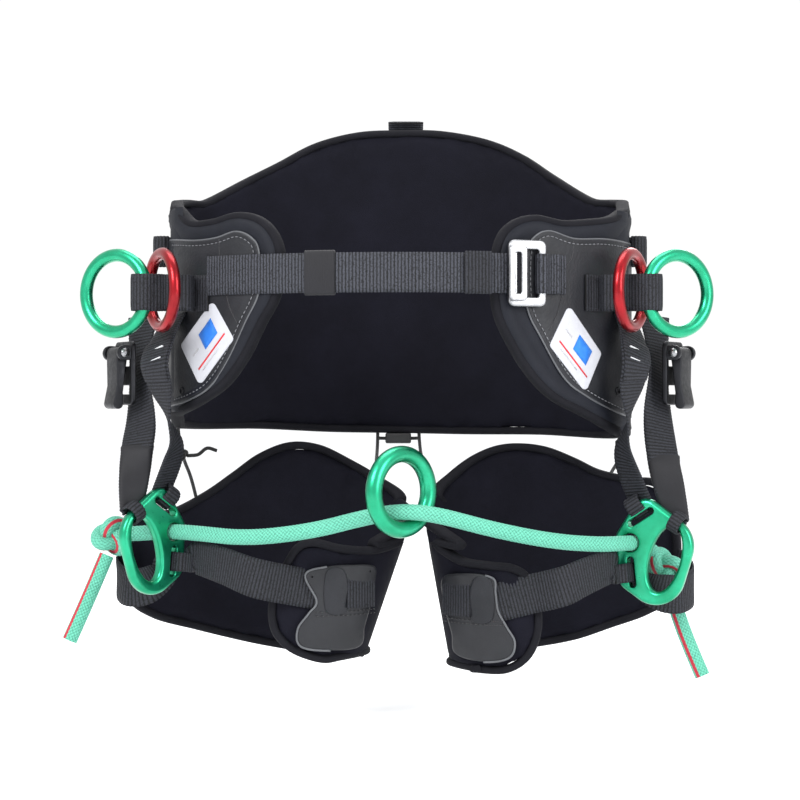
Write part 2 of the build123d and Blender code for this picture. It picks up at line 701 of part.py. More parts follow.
# --- elastic cords that hold the leg pads up ------------------------------------------------
CENTRE_CORDS = {
    "left": [(-19, 107.5, -119.4), (-19, 104.5, -131), (-19.5, 90, -141), (-20, 70, -148),
             (-20, 57, -157.2)],
    "right": [(16, 107.5, -119.4), (16.5, 104.5, -131), (18, 90, -143), (21, 70, -154),
              (24, 57, -170.3)],
}
SIDE_CORDS = {
    "left": [(-178.4, 6, -114.5), (-178, 10, -128), (-175, 20, -144), (-170, 30, -158),
             (-167, 36, -173.8)],
    "right": [(178.4, 6, -122), (178.4, 8.5, -133), (177.5, 18, -143), (175.5, 32, -149),
              (173, 43, -155.4)],
}
for side in SIDES:
    name = f"elastic_centre_{side}"
    save(cord(CENTRE_CORDS[side], ELASTIC_D, name), name)
    name = f"elastic_side_{side}"
    save(cord(SIDE_CORDS[side], ELASTIC_D, name), name)

LINK_Y = 105.6
LINK_Z = -127.5
LOCK_X = -1.5
LOCK = (22.0, 9.0, 9.0)
with BuildPart() as link:
    with BuildSketch(Plane.YZ.offset(-19)):
        with Locations((LINK_Y, LINK_Z)):
            Circle(ELASTIC_D / 2)
    extrude(amount=35.4)
save(link.part, "elastic_link")
with BuildPart() as lock:
    with BuildSketch(Plane.YZ.offset(LOCK_X - LOCK[0] / 2)):
        with Locations((LINK_Y, LINK_Z)):
            RectangleRounded(LOCK[1], LOCK[2], 2.5)
            Circle(ELASTIC_D / 2 + 0.35, mode=Mode.SUBTRACT)
    extrude(amount=LOCK[0])
save(lock.part, "cord_lock_centre")

KNOT_TAIL = [(-172, 17, -140), (-163, 14, -139), (-156, 17, -134), (-148, 18, -136)]
with BuildPart() as small_knot:
    with Locations((-176.5, 15, -139)):
        Sphere(5.5)
    add(cord(KNOT_TAIL, ELASTIC_D, "elastic_knot_left"))
save(small_knot.part, "elastic_knot_left")
with BuildPart() as fitting:
    with Locations(Location((178.3, 9.4, -133.5), (-25, 0, 0))):
        Cylinder(5, 14)
        Cylinder(ELASTIC_D / 2 + 0.5, 30, mode=Mode.SUBTRACT)
save(fitting.part, "cord_fitting_right")

# --- loops sewn to the back and the hips ----------------------------------------------------
HANG_X = 5.0
with BuildPart() as hang:
    with BuildSketch(Plane.YZ.offset(HANG_X - HALF_WEB)):
        with Locations((HALF_DEPTH + 6, 121)):
            RectangleRounded(14, 46, 6.9)
            RectangleRounded(14 - 2 * WEB_T, 46 - 2 * WEB_T, 4.5, mode=Mode.SUBTRACT)
    extrude(amount=WEBBING)
    with BuildSketch(Plane.XY.offset(90)):
        add(oval(0))
    extrude(amount=60, mode=Mode.SUBTRACT)
save(hang.part, "hang_loop")
for side, sign in SIDES.items():
    with BuildPart() as loop:
        with BuildSketch(Plane.XY.offset(11)):
            with Locations((sign * (HALF_WIDTH + 5), -9)):
                Circle(8.5)
                Circle(8.5 - WEB_T, mode=Mode.SUBTRACT)
            add(oval(PANEL_T), mode=Mode.SUBTRACT)
        extrude(amount=24)
    save(loop.part, f"side_loop_{side}")
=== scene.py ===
import math

import bpy
import numpy as np
from mathutils import Matrix, Vector
from mathutils.geometry import delaunay_2d_cdt


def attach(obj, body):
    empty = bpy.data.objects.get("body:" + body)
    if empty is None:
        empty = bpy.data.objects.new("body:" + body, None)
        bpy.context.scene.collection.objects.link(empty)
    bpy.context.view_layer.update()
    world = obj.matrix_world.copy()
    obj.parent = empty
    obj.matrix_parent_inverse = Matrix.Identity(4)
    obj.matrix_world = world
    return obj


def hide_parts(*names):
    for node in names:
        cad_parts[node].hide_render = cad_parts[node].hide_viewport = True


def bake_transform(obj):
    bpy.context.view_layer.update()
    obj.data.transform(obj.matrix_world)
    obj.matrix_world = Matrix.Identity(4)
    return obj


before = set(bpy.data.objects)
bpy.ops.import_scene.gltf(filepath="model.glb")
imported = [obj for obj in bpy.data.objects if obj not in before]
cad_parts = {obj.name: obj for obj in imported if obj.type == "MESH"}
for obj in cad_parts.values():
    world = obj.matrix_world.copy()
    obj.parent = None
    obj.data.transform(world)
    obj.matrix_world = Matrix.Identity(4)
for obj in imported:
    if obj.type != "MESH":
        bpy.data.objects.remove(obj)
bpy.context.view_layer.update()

MM = 0.001
SIDES = {"left": -1, "right": 1}

# --- the waist oval and the thighs, as the CAD builds them, in millimetres -------------------
HIP_X = 108.0
HIP_R = 75.0
ARC_K = (HIP_X**2 - 37.0**2) / 74.0
BACK_R = 112.0 + ARC_K
JOIN_X = HIP_X + HIP_R * HIP_X / math.hypot(HIP_X, ARC_K)
PANEL_T = 1.6
WEB_T = 2.4
WEBBING = 30.0
BELT_IN = PANEL_T
BELT_OUT = BELT_IN + WEB_T


def on_oval(x, z, lift=0.0, front=True):
    """A point on the waist oval at front-view x, and the oval's outward normal there."""
    sign = -1 if front else 1
    if abs(x) < JOIN_X:
        nx = x / BACK_R
        ny = sign * math.sqrt(1 - nx * nx)
        reach = BACK_R + lift
        return Vector((reach * nx, -sign * ARC_K + reach * ny, z)), Vector((nx, ny, 0))
    side = math.copysign(1, x)
    nx = side * min(1.0, (abs(x) - HIP_X) / HIP_R)
    ny = sign * math.sqrt(max(0.0, 1 - nx * nx))
    reach = HIP_R + lift
    return Vector((side * HIP_X + reach * nx, reach * ny, z)), Vector((nx, ny, 0))


LEG_Z = (-125.0, -310.0)
LEG_MIRROR_X = {"left": 0.0, "right": 31.0}
LEG_INNER_X = {"left": (33.0, -30.0), "right": (25.0, -8.0)}
LEG_BACK_Y = (64.0, 46.0)
LEG_FRONT_Y = (-80.0, -68.0)
LEG_END_X = -218.0
LEG_DROP = 40.0


def on_thigh(side, branch, q, z, lift=0.0):
    """A point on a thigh and its normal. branch is front or back at x = q, or wrap at angle q."""
    share = (z - LEG_Z[0]) / (LEG_Z[1] - LEG_Z[0])
    inner, back, front = (
        a + (b - a) * share for a, b in (LEG_INNER_X[side], LEG_BACK_Y, LEG_FRONT_Y)
    )
    radius = (back - front) / 2
    cx = inner - radius
    cy = (back + front) / 2
    flip = -SIDES[side]
    x = (q - LEG_MIRROR_X[side]) * flip if branch != "wrap" else 0
    if branch == "wrap" or x > cx:
        if branch == "wrap":
            angle = math.radians(q)
        else:
            cosine = min(1.0, (x - cx) / radius)
            angle = math.acos(cosine) * (1 if branch == "back" else -1)
        normal = Vector((math.cos(angle), math.sin(angle), 0))
        point = Vector((cx, cy, z)) + normal * (radius + lift)
    elif branch == "back":
        reach = cx - LEG_END_X
        long_r = (reach**2 + LEG_DROP**2) / (2 * LEG_DROP)
        nx = (x - cx) / long_r
        normal = Vector((nx, math.sqrt(1 - nx * nx), 0))
        point = Vector((cx, back - long_r, z)) + normal * (long_r + lift)
    else:
        normal = Vector((0, -1, 0))
        point = Vector((x, front - lift, z))
    point.x = LEG_MIRROR_X[side] + point.x * flip
    normal.x *= flip
    return point, normal


# --- materials ------------------------------------------------------------------------------
def material(name, rough=0.6, metallic=0.0, spec=0.5, sheen=0.0, coat=0.0):
    mat = bpy.data.materials.new(name)
    mat.use_nodes = True
    shader = mat.node_tree.nodes["Principled BSDF"]
    shader.inputs["Roughness"].default_value = rough
    shader.inputs["Metallic"].default_value = metallic
    shader.inputs["Specular IOR Level"].default_value = spec
    shader.inputs["Sheen Weight"].default_value = sheen
    shader.inputs["Coat Weight"].default_value = coat
    return mat, mat.node_tree, shader


def node(tree, kind, inputs=(), **settings):
    made = tree.nodes.new(kind)
    for key, value in settings.items():
        setattr(made, key, value)
    for key, value in dict(inputs).items():
        if isinstance(value, bpy.types.NodeSocket):
            tree.links.new(value, made.inputs[key])
        else:
            made.inputs[key].default_value = value
    return made


def ramp(tree, factor, low, high, start=0.3, end=0.7):
    made = node(tree, "ShaderNodeValToRGB", {"Fac": factor})
    made.color_ramp.elements[0].position = start
    made.color_ramp.elements[0].color = (*low, 1)
    made.color_ramp.elements[1].position = end
    made.color_ramp.elements[1].color = (*high, 1)
    return made.outputs["Color"]


def coordinates(tree, scale=1.0):
    place = node(tree, "ShaderNodeTexCoord").outputs["Object"]
    mapped = node(tree, "ShaderNodeMapping", {"Vector": place, "Scale": (scale,) * 3})
    return mapped.outputs["Vector"]


def noise(tree, vector, scale, detail=4.0, rough=0.6):
    made = node(tree, "ShaderNodeTexNoise", {
        "Vector": vector, "Scale": scale, "Detail": detail, "Roughness": rough})
    return made.outputs["Fac"]


def bump(tree, shader, height, strength, distance, below=None):
    made = node(tree, "ShaderNodeBump", {
        "Height": height, "Strength": strength, "Distance": distance})
    if below is not None:
        tree.links.new(below, made.inputs["Normal"])
    tree.links.new(made.outputs["Normal"], shader.inputs["Normal"])
    return made.outputs["Normal"]


def cloth(name, low, high, grain=1400, depth=0.0002, rough=0.85, sheen=0.3, wear=18, spec=0.3):
    """Knitted or woven cloth: fine cells for the yarn, slow noise for fading and lint."""
    mat, tree, shader = material(name, rough=rough, sheen=sheen, spec=spec)
    shader.inputs["Sheen Roughness"].default_value = 0.5
    where = coordinates(tree)
    slow = noise(tree, where, wear, 6.0, 0.7)
    tree.links.new(ramp(tree, slow, low, high, 0.35, 0.75), shader.inputs["Base Color"])
    cells = node(tree, "ShaderNodeTexVoronoi", {"Vector": where, "Scale": grain})
    first = bump(tree, shader, cells.outputs["Distance"], 0.5, depth)
    bump(tree, shader, noise(tree, where, 90, 3.0), 0.25, 0.0006, first)
    return mat


def leather(name, low, high, rough=0.42, grain=520, depth=0.00035):
    """Coated leather-like sheet: pebbled grain, scuffs that change the gloss."""
    mat, tree, shader = material(name, rough=rough, spec=0.34)
    where = coordinates(tree)
    slow = noise(tree, where, 26, 7.0, 0.65)
    tree.links.new(ramp(tree, slow, low, high, 0.3, 0.75), shader.inputs["Base Color"])
    gloss = ramp(tree, noise(tree, where, 60, 5.0), (rough - 0.1,) * 3, (rough + 0.14,) * 3)
    tree.links.new(gloss, shader.inputs["Roughness"])
    cells = node(tree, "ShaderNodeTexVoronoi", {"Vector": where, "Scale": grain})
    first = bump(tree, shader, cells.outputs["Distance"], 0.35, depth)
    bump(tree, shader, noise(tree, where, 45, 3.0), 0.2, 0.001, first)
    return mat


def anodised(name, low, high):
    """Dyed anodised aluminium: satin sheen, faint machining lines and a tint and gloss that vary at
    random.
    """
    mat, tree, shader = material(name, rough=0.32, metallic=0.9, coat=0.35)
    shader.inputs["Coat Roughness"].default_value = 0.15
    where = coordinates(tree)
    tint = ramp(tree, noise(tree, where, 38, 5.0), low, high, 0.3, 0.75)
    tree.links.new(tint, shader.inputs["Base Color"])
    gloss = ramp(tree, noise(tree, where, 240, 3.0), (0.27,) * 3, (0.38,) * 3)
    tree.links.new(gloss, shader.inputs["Roughness"])
    bump(tree, shader, noise(tree, where, 900, 2.0), 0.05, 0.0001)
    return mat


def metal(name, colour, rough=0.3):
    mat, tree, shader = material(name, rough=rough, metallic=1.0)
    where = coordinates(tree)
    dark = tuple(c * 0.75 for c in colour)
    tree.links.new(ramp(tree, noise(tree, where, 60, 6.0), dark, colour),
                   shader.inputs["Base Color"])
    gloss = ramp(tree, noise(tree, where, 300, 4.0), (rough - 0.08,) * 3, (rough + 0.15,) * 3)
    tree.links.new(gloss, shader.inputs["Roughness"])
    bump(tree, shader, noise(tree, where, 700, 2.0), 0.12, 0.0001)
    return mat


def plastic(name, colour, rough=0.45):
    mat, tree, shader = material(name, rough=rough)
    where = coordinates(tree)
    light = tuple(min(1, c * 1.6 + 0.004) for c in colour)
    tree.links.new(ramp(tree, noise(tree, where, 40, 5.0), colour, light),
                   shader.inputs["Base Color"])
    bump(tree, shader, noise(tree, where, 1200, 2.0), 0.3, 0.00012)
    return mat


def yarn(name, painted_groove_shade, crown, tracer=None, rough=0.7, sheen=0.4, dots=0.9):
    """Rope or webbing yarn: the mesh's own height and tracer values pick the colour; low places get
    a dark colour that is painted shade in the grooves, mixed with the yarn's own grain.
    """
    mat, tree, shader = material(name, rough=rough, sheen=sheen, spec=0.3)
    height = node(tree, "ShaderNodeAttribute", attribute_name="height").outputs["Fac"]
    where = coordinates(tree)
    cells = node(tree, "ShaderNodeTexVoronoi", {"Vector": where, "Scale": 900})
    spread = node(tree, "ShaderNodeMath", {0: cells.outputs["Distance"], 1: dots},
                  operation="MULTIPLY")
    grain = node(tree, "ShaderNodeMath", {0: 0.62 + 0.45 * dots, 1: spread.outputs[0]},
                 operation="SUBTRACT").outputs[0]
    mixed = node(tree, "ShaderNodeMath", {0: height, 1: grain}, operation="MULTIPLY_ADD")
    mixed.inputs[2].default_value = 0.0
    lift = node(tree, "ShaderNodeMath", {0: mixed.outputs[0], 1: 1.45}, operation="MULTIPLY")
    # Painted shade: low height between ribs and strands ramps towards the dark colour; the voronoi
    # grain is the yarn's own speckle.
    colour = ramp(tree, lift.outputs[0], painted_groove_shade, crown, 0.12, 0.8)
    if tracer:
        share = node(tree, "ShaderNodeAttribute", attribute_name="tracer").outputs["Fac"]
        mix = node(tree, "ShaderNodeMix", {"Factor": share}, data_type="RGBA")
        tree.links.new(colour, mix.inputs["A"])
        mix.inputs["B"].default_value = (*tracer, 1)
        colour = mix.outputs["Result"]
    tree.links.new(colour, shader.inputs["Base Color"])
    bump(tree, shader, grain, 0.5, 0.0004)
    return mat


NEOPRENE = cloth("neoprene", (0.0028, 0.0028, 0.0065), (0.0055, 0.0055, 0.0115), sheen=0.0,
                 spec=0.16)
BINDING = cloth("binding", (0.004, 0.004, 0.0065), (0.009, 0.009, 0.0125), grain=2200,
                sheen=0.0, spec=0.2)
WING = cloth("wing_cloth", (0.005, 0.006, 0.01), (0.01, 0.0115, 0.018), grain=1800,
             rough=0.6, sheen=0.0, spec=0.2)
PANEL = leather("panel_leather", (0.006, 0.0068, 0.0095), (0.013, 0.0142, 0.019), rough=0.46)
VINYL = leather("sleeve_vinyl", (0.0095, 0.01, 0.0125), (0.018, 0.019, 0.023), rough=0.42,
                grain=900, depth=0.0001)
LABEL = cloth("label_cloth", (0.44, 0.45, 0.49), (0.52, 0.53, 0.57), grain=2600, depth=0.0001,
              rough=0.5, sheen=0.1)
LABEL_BLUE = cloth("label_blue", (0.01, 0.12, 0.5), (0.02, 0.2, 0.7), grain=2600, depth=0.0001,
                   rough=0.5, sheen=0.1)
LABEL_RED = cloth("label_red", (0.5, 0.02, 0.03), (0.65, 0.04, 0.05), grain=2600, depth=0.0001,
                  rough=0.5, sheen=0.1)
LABEL_GREY = cloth("label_grey", (0.35, 0.35, 0.37), (0.5, 0.5, 0.52), grain=2600,
                   depth=0.0001, rough=0.5, sheen=0.1)
GREEN = anodised("green_anodised", (0.004, 0.27, 0.125), (0.02, 0.44, 0.235))
RED = anodised("red_anodised", (0.22, 0.002, 0.006), (0.42, 0.008, 0.015))
SILVER = metal("buckle_alloy", (0.36, 0.365, 0.38))
BLACK_ALLOY = metal("black_alloy", (0.035, 0.036, 0.04), rough=0.42)
BLACK_PLASTIC = plastic("black_plastic", (0.008, 0.008, 0.009))
STITCH = cloth("dark_thread", (0.008, 0.008, 0.01), (0.03, 0.03, 0.035), grain=3000)
EDGE_GREY = leather("panel_edge", (0.07, 0.073, 0.08), (0.12, 0.125, 0.135), rough=0.4)
GREY_STITCH = cloth("grey_thread", (0.11, 0.115, 0.13), (0.2, 0.205, 0.22), grain=3000)
WHITE_STITCH = cloth("white_thread", (0.55, 0.56, 0.58), (0.8, 0.81, 0.83), grain=3000)
# For each yarn below (webbing, rope, shock cord) the first colour is painted shade for the grooves
# and the second is the yarn's own colour.
WEB_BELT = yarn("webbing_grey", (0.0015, 0.0017, 0.0025), (0.046, 0.049, 0.062), sheen=0.0)
WEB_DARK = yarn("webbing_dark", (0.001, 0.0012, 0.0018), (0.022, 0.0235, 0.031), sheen=0.0)
TAPE = cloth("tape_sleeve", (0.005, 0.005, 0.007), (0.011, 0.011, 0.015), grain=2600,
             depth=0.0001, rough=0.6, sheen=0.08)
ROPE = yarn("bridge_rope", (0.004, 0.1, 0.062), (0.13, 0.5, 0.36), tracer=(0.42, 0.02, 0.04),
            rough=0.6, sheen=0.1, dots=0.3)
SHOCK = yarn("shock_cord", (0.002, 0.002, 0.002), (0.03, 0.03, 0.032))


# --- mesh helpers ---------------------------------------------------------------------------
def finish_piece(obj, mat, body, nodes=(), smooth=True):
    """Gives a piece its material, its CAD nodes, its finish and, unless it blends, its body."""
    obj.data.materials.clear()
    obj.data.materials.append(mat)
    if smooth:
        obj.data.shade_smooth()
    if nodes:
        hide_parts(*nodes)
    if body:
        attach(obj, body)
    return obj


def mesh_object(name, verts, faces, values=None):
    """A mesh object from points in millimetres, with named float values per point."""
    mesh = bpy.data.meshes.new(name)
    mesh.from_pydata([tuple(Vector(v) * MM) for v in verts], [], faces)
    for key, numbers in (values or {}).items():
        mesh.attributes.new(key, "FLOAT", "POINT").data.foreach_set("value", numbers)
    obj = bpy.data.objects.new(name, mesh)
    bpy.context.collection.objects.link(obj)
    return obj


def join_meshes(name, parts):
    """One object from (verts, faces) parts in millimetres."""
    verts, faces = [], []
    for points, polygons in parts:
        start = len(verts)
        verts.extend(points)
        faces.extend([tuple(i + start for i in polygon) for polygon in polygons])
    return mesh_object(name, verts, faces)


def spline(points, step, order=3):
    """Evenly dense points along the NURBS curve whose control points are given."""
    curve = bpy.data.curves.new("route", "CURVE")
    curve.dimensions = "3D"
    line = curve.splines.new("NURBS")
    line.points.add(len(points) - 1)
    for spot, point in zip(line.points, points):
        spot.co = (*point, 1)
    line.order_u = order
    line.use_endpoint_u = True
    curve.resolution_u = 24
    obj = bpy.data.objects.new("route", curve)
    bpy.context.collection.objects.link(obj)
    bpy.context.view_layer.update()
    mesh = bpy.data.meshes.new_from_object(obj.evaluated_get(bpy.context.evaluated_depsgraph_get()))
    raw = np.array([v.co for v in mesh.vertices])
    bpy.data.objects.remove(obj)
    bpy.data.meshes.remove(mesh)
    return resample(raw, step)


def distances(line):
    """How far along a line each of its points is."""
    return np.concatenate([[0], np.cumsum(np.linalg.norm(np.diff(line, axis=0), axis=1))])


def spread(values, at, to):
    """Triples known at some places along a line, read off at others."""
    values = np.array([tuple(v) for v in values], float)
    return np.stack([np.interp(to, at, values[:, k]) for k in range(3)], axis=1)


def resample(raw, step):
    """The same line with points a step apart."""
    lengths = distances(raw)
    count = max(3, int(round(lengths[-1] / step)) + 1)
    return spread(raw, lengths, np.linspace(0, lengths[-1], count))


def tube_faces(count, size):
    """Quads between count rings of size points each, and a face on either end."""
    faces = [(i * size + k, i * size + (k + 1) % size, (i + 1) * size + (k + 1) % size,
              (i + 1) * size + k) for i in range(count - 1) for k in range(size)]
    return faces + [tuple(reversed(range(size))),
                    tuple(range((count - 1) * size, count * size))]


def frames_along(points, normals=None):
    """Tangent, normal and binormal at each point: given normals, or carried along."""
    tangents = np.gradient(points, axis=0)
    tangents /= np.linalg.norm(tangents, axis=1)[:, None]
    result = []
    last = None
    for i, t in enumerate(tangents):
        if normals is not None:
            n = np.array(normals[i], float)
        elif last is None:
            n = np.cross(t, (0, 0, 1) if abs(t[2]) < 0.9 else (1, 0, 0))
        else:
            n = last
        n = n - t * np.dot(n, t)
        n /= np.linalg.norm(n)
        last = n
        result.append((t, n, np.cross(t, n)))
    return result


def sweep(points, profile, normals=None, closed=False, caps=True):
    """Verts and faces of a closed profile of (normal, binormal) offsets carried along points.

    profile is a list, or a function of the point's number that gives one."""
    frames = frames_along(points, normals)
    verts, faces = [], []
    size = 0
    for i, (t, n, b) in enumerate(frames):
        section = profile(i) if callable(profile) else profile
        size = len(section)
        for u, v in section:
            verts.append(points[i] + n * u + b * v)
    rows = len(points)
    for i in range(rows if closed else rows - 1):
        for k in range(size):
            a = i * size + k
            b = i * size + (k + 1) % size
            shift = size if i < rows - 1 else -i * size
            faces.append((a, b, b + shift, a + shift))
    if caps and not closed:
        faces.append(tuple(reversed(range(size))))
        faces.append(tuple(range((rows - 1) * size, rows * size)))
    return verts, faces


def circle(radius, count=12, squash=1.0):
    return [
        (radius * squash * math.cos(2 * math.pi * k / count),
         radius * math.sin(2 * math.pi * k / count)) for k in range(count)
    ]


def rounded_bar(width, thickness, count=6):
    """A flat section with round edges; thickness is along the normal, width across."""
    r = thickness / 2
    section = []
    for centre, start in ((width / 2 - r, 90), (-width / 2 + r, 270)):
        for k in range(count + 1):
            angle = math.radians(start - 180 * k / count)
            section.append((r * math.sin(angle), centre + r * math.cos(angle)))
    return section


RIB_PITCH = 2.6
RIB_STEP = 0.325


def strap_part(points, normals, width, thickness=WEB_T, share=None, ribs=0.32):
    """Ribbed webbing as (verts, faces, height): cross ribs stand out and notch the edges."""
    points = np.array(points, float)
    fine = resample(points, RIB_STEP)
    lengths = distances(points)
    at = lengths / lengths[-1]
    to = np.linspace(0, 1, len(fine))
    normal = spread(normals, at, to)
    shares = np.interp(to, at, share) if share is not None else np.ones(len(fine))
    columns = 9
    verts, height = [], []
    for i, (t, n, b) in enumerate(frames_along(fine, normal)):
        crown = abs(math.sin(math.pi * i * RIB_STEP / RIB_PITCH)) ** 1.1
        half = width / 2 * shares[i] - 0.25 * (1 - crown)
        for face in (1, -1):
            for k in range(columns):
                across = -1 + 2 * k / (columns - 1)
                lift = (thickness / 2 - ribs * (1 - crown)) * (1 - abs(across) ** 8 * 0.35)
                verts.append(fine[i] + (b * across * half + n * lift) * face)
                # height follows the rib crests; the yarn shader turns low height into painted shade
                # in the grooves.
                height.append(0.04 + 0.96 * crown)
    return verts, tube_faces(len(fine), 2 * columns), height


def strap(name, parts, mat, body, nodes=()):
    """Webbing parts as one piece."""
    verts, faces, height = [], [], []
    for points, polygons, values in parts:
        start = len(verts)
        verts.extend(points)
        faces.extend([tuple(i + start for i in polygon) for polygon in polygons])
        height.extend(values)
    obj = mesh_object(name, verts, faces, {"height": height})
    return finish_piece(obj, mat, body, nodes)


def plan_normals(points):
    """Normals, level and to the right of the way, of a line in plan."""
    tangents = np.gradient(np.array(points, float), axis=0)
    return [Vector((t[1], -t[0], 0)).normalized() for t in tangents]


def teardrop(centre, axis, towards, radius, reach, width, thickness=WEB_T):
    """Webbing that splits round a bar and closes again reach above it, as a strap part."""
    axis = Vector(axis).normalized()
    up = Vector(towards) - Vector(centre)
    up = (up - axis * up.dot(axis)).normalized()
    side = axis.cross(up)
    half = thickness / 2 + 0.1
    leg = [(reach, half), (reach * 0.72, half + 0.8), (radius * 1.15, radius * 0.72)]
    turn = [
        (radius * math.sin(math.radians(a)), radius * math.cos(math.radians(a)))
        for a in range(30, -211, -20)
    ]
    flat = leg + turn + [(u, -v) for u, v in reversed(leg)]
    line = smooth_open([Vector(centre) + up * u + side * v for u, v in flat], 120)
    tangents = np.gradient(line, axis=0)
    normals = [Vector(t).cross(axis).normalized() for t in tangents]
    return strap_part(line, normals, width, thickness)


def turned_loops(loops):
    """Loops with the outer one anticlockwise and the holes clockwise."""
    turned = []
    for number, loop in enumerate(loops):
        loop = np.array(loop, float)
        x, y = loop[:, 0], loop[:, 1]
        area = np.sum(x * np.roll(y, -1) - np.roll(x, -1) * y)
        turned.append(loop if (area > 0) == (number == 0) else loop[::-1])
    return turned


def moved_in(loop, inset):
    """A loop moved to its left by inset."""
    along = np.roll(loop, -1, axis=0) - np.roll(loop, 1, axis=0)
    along /= np.linalg.norm(along, axis=1)[:, None]
    return loop + np.stack([-along[:, 1], along[:, 0]], axis=1) * inset


def edge_faces(flat_rows):
    """Quads up the edges of a plate, between its rows of loops."""
    faces = []
    for (low, flats, _), (high, _, _) in zip(flat_rows, flat_rows[1:]):
        for a, b, flat in zip(low, high, flats):
            size = len(flat)
            faces.extend((a + k, a + (k + 1) % size, b + (k + 1) % size, b + k)
                         for k in range(size))
    return faces


def open_run(loop, gap=20):
    """A loop with a gap in it, turned so that the gap comes last."""
    breaks = np.where(np.linalg.norm(np.roll(loop, -1, axis=0) - loop, axis=1) > gap)[0]
    return np.roll(loop, -(breaks[0] + 1), axis=0) if len(breaks) else loop


def slab(name, loops, place, rows, grid):
    """A layer with shaped edges, as an object and the count of faces on its underside.

    Each loop's edge climbs through rows of (inset, height); place maps (u, v, height)."""
    turned = turned_loops(loops)
    verts, flat_rows = [], []
    for inset, height in rows:
        starts, flats = [], []
        for loop in turned:
            moved = moved_in(loop, inset)
            starts.append(len(verts))
            flats.append(moved)
            verts.extend(place(u, v, height) for u, v in moved)
        flat_rows.append((starts, flats, height))
    faces = edge_faces(flat_rows)
    top = cap(flat_rows[-1], verts, place, grid, False)
    bottom = cap(flat_rows[0], verts, place, grid, True)
    obj = mesh_object(name, verts, faces + top + bottom)
    return obj, len(bottom)


def inside(points, loops):
    """Which 2-D points lie within the loops, holes left out."""
    odd = np.zeros(len(points), bool)
    for loop in loops:
        nxt = np.roll(loop, -1, axis=0)
        for (ax, ay), (bx, by) in zip(loop, nxt):
            crosses = (ay > points[:, 1]) != (by > points[:, 1])
            with np.errstate(divide="ignore", invalid="ignore"):
                at = (bx - ax) * (points[:, 1] - ay) / (by - ay) + ax
            odd ^= crosses & (points[:, 0] < at)
    return odd


def cap(row, verts, place, grid, flip):
    """Triangles that fill a row's loops, with a grid of points between them."""
    starts, flats, height = row
    coords = [Vector((float(u), float(v))) for flat in flats for u, v in flat]
    index = [start + k for start, flat in zip(starts, flats) for k in range(len(flat))]
    edges, first = [], 0
    for flat in flats:
        edges.extend((first + k, first + (k + 1) % len(flat)) for k in range(len(flat)))
        first += len(flat)
    border = np.vstack(flats)
    low, high = border.min(0), border.max(0)
    us = np.arange(low[0] + grid / 2, high[0], grid)
    vs = np.arange(low[1] + grid / 2, high[1], grid)
    spots = np.array([(u, v) for u in us for v in vs]).reshape(-1, 2)
    if len(spots):
        spots = spots[inside(spots, flats)]
        near = np.min(np.linalg.norm(spots[:, None] - border[None], axis=2), axis=1)
        for u, v in spots[near > grid * 0.55]:
            coords.append(Vector((float(u), float(v))))
            index.append(len(verts))
            verts.append(place(u, v, height))
    made = delaunay_2d_cdt(coords, edges, [], 0, 1e-4)
    where = [spot.xy for spot in made[0]]
    origin = [sources[0] if sources else None for sources in made[3]]
    centres = np.array([sum((where[i] for i in f), Vector((0, 0))) / 3 for f in made[2]])
    keep = inside(centres, flats)
    faces = []
    for face, kept in zip(made[2], keep):
        if not kept or any(origin[i] is None for i in face):
            continue
        a, b, c = (where[i] for i in face)
        if ((b - a).x * (c - a).y - (b - a).y * (c - a).x > 0) == flip:
            face = face[::-1]
        faces.append(tuple(index[origin[i]] for i in face))
    return faces


def rounded_rectangle(width, height, radius, centre=(0, 0), count=7):
    loop = []
    for cx, cy, start in ((1, 1, 0), (-1, 1, 90), (-1, -1, 180), (1, -1, 270)):
        for k in range(count + 1):
            angle = math.radians(start + 90 * k / count)
            loop.append((centre[0] + cx * (width / 2 - radius) + radius * math.cos(angle),
                         centre[1] + cy * (height / 2 - radius) + radius * math.sin(angle)))
    return loop


def slot_loop(length, width, centre, tilt, count=12):
    """A slot's outline; tilt in degrees."""
    turn = math.radians(tilt)
    loop = []
    for end, start in ((1, -90), (-1, 90)):
        for k in range(count + 1):
            angle = math.radians(start + 180 * k / count)
            x = end * (length - width) / 2 + width / 2 * math.cos(angle)
            y = width / 2 * math.sin(angle)
            loop.append((centre[0] + x * math.cos(turn) - y * math.sin(turn),
                         centre[1] + x * math.sin(turn) + y * math.cos(turn)))
    return loop


def flat_place(origin, u_axis, v_axis):
    """Maps (u, v, height) onto a plane in space."""
    origin, u_axis, v_axis = Vector(origin), Vector(u_axis), Vector(v_axis)
    out = u_axis.cross(v_axis)
    return lambda u, v, h: origin + u_axis * float(u) + v_axis * float(v) + out * float(h)


def braid(name, points, diameter, plaits=8, pitch=None, tracer=False, depth=0.09, around=64,
          step=0.5):
    """A braided cord: two families of strands that pass over and under each other."""
    pitch = pitch or diameter * 3.2
    fine = resample(np.array(points), step)
    frames = frames_along(fine)
    verts, height, marks = [], [], []
    for i, (t, n, b) in enumerate(frames):
        along = i * step / pitch
        for k in range(around):
            turn = k / around
            first = (turn + along) * plaits
            second = (turn - along) * plaits
            over = (math.floor(first) + math.floor(second)) % 2
            strand = first if over else second
            crown = abs(math.sin(math.pi * strand)) ** 0.6
            other = second if over else first
            crown *= 0.75 + 0.25 * abs(math.sin(math.pi * other))
            radius = diameter / 2 * (1 - depth * (1 - crown))
            angle = 2 * math.pi * turn
            verts.append(fine[i] + (n * math.cos(angle) + b * math.sin(angle)) * radius)
            # height follows the strand crowns; the yarn shader turns low height into painted shade
            # where strands cross under.
            height.append(0.2 + 0.8 * crown)
            marks.append(1.0 if tracer and abs((turn % 0.5 - 0.12) * plaits) < 0.45 else 0.0)
    return mesh_object(name, verts, tube_faces(len(fine), around),
                       {"height": height, "tracer": marks})


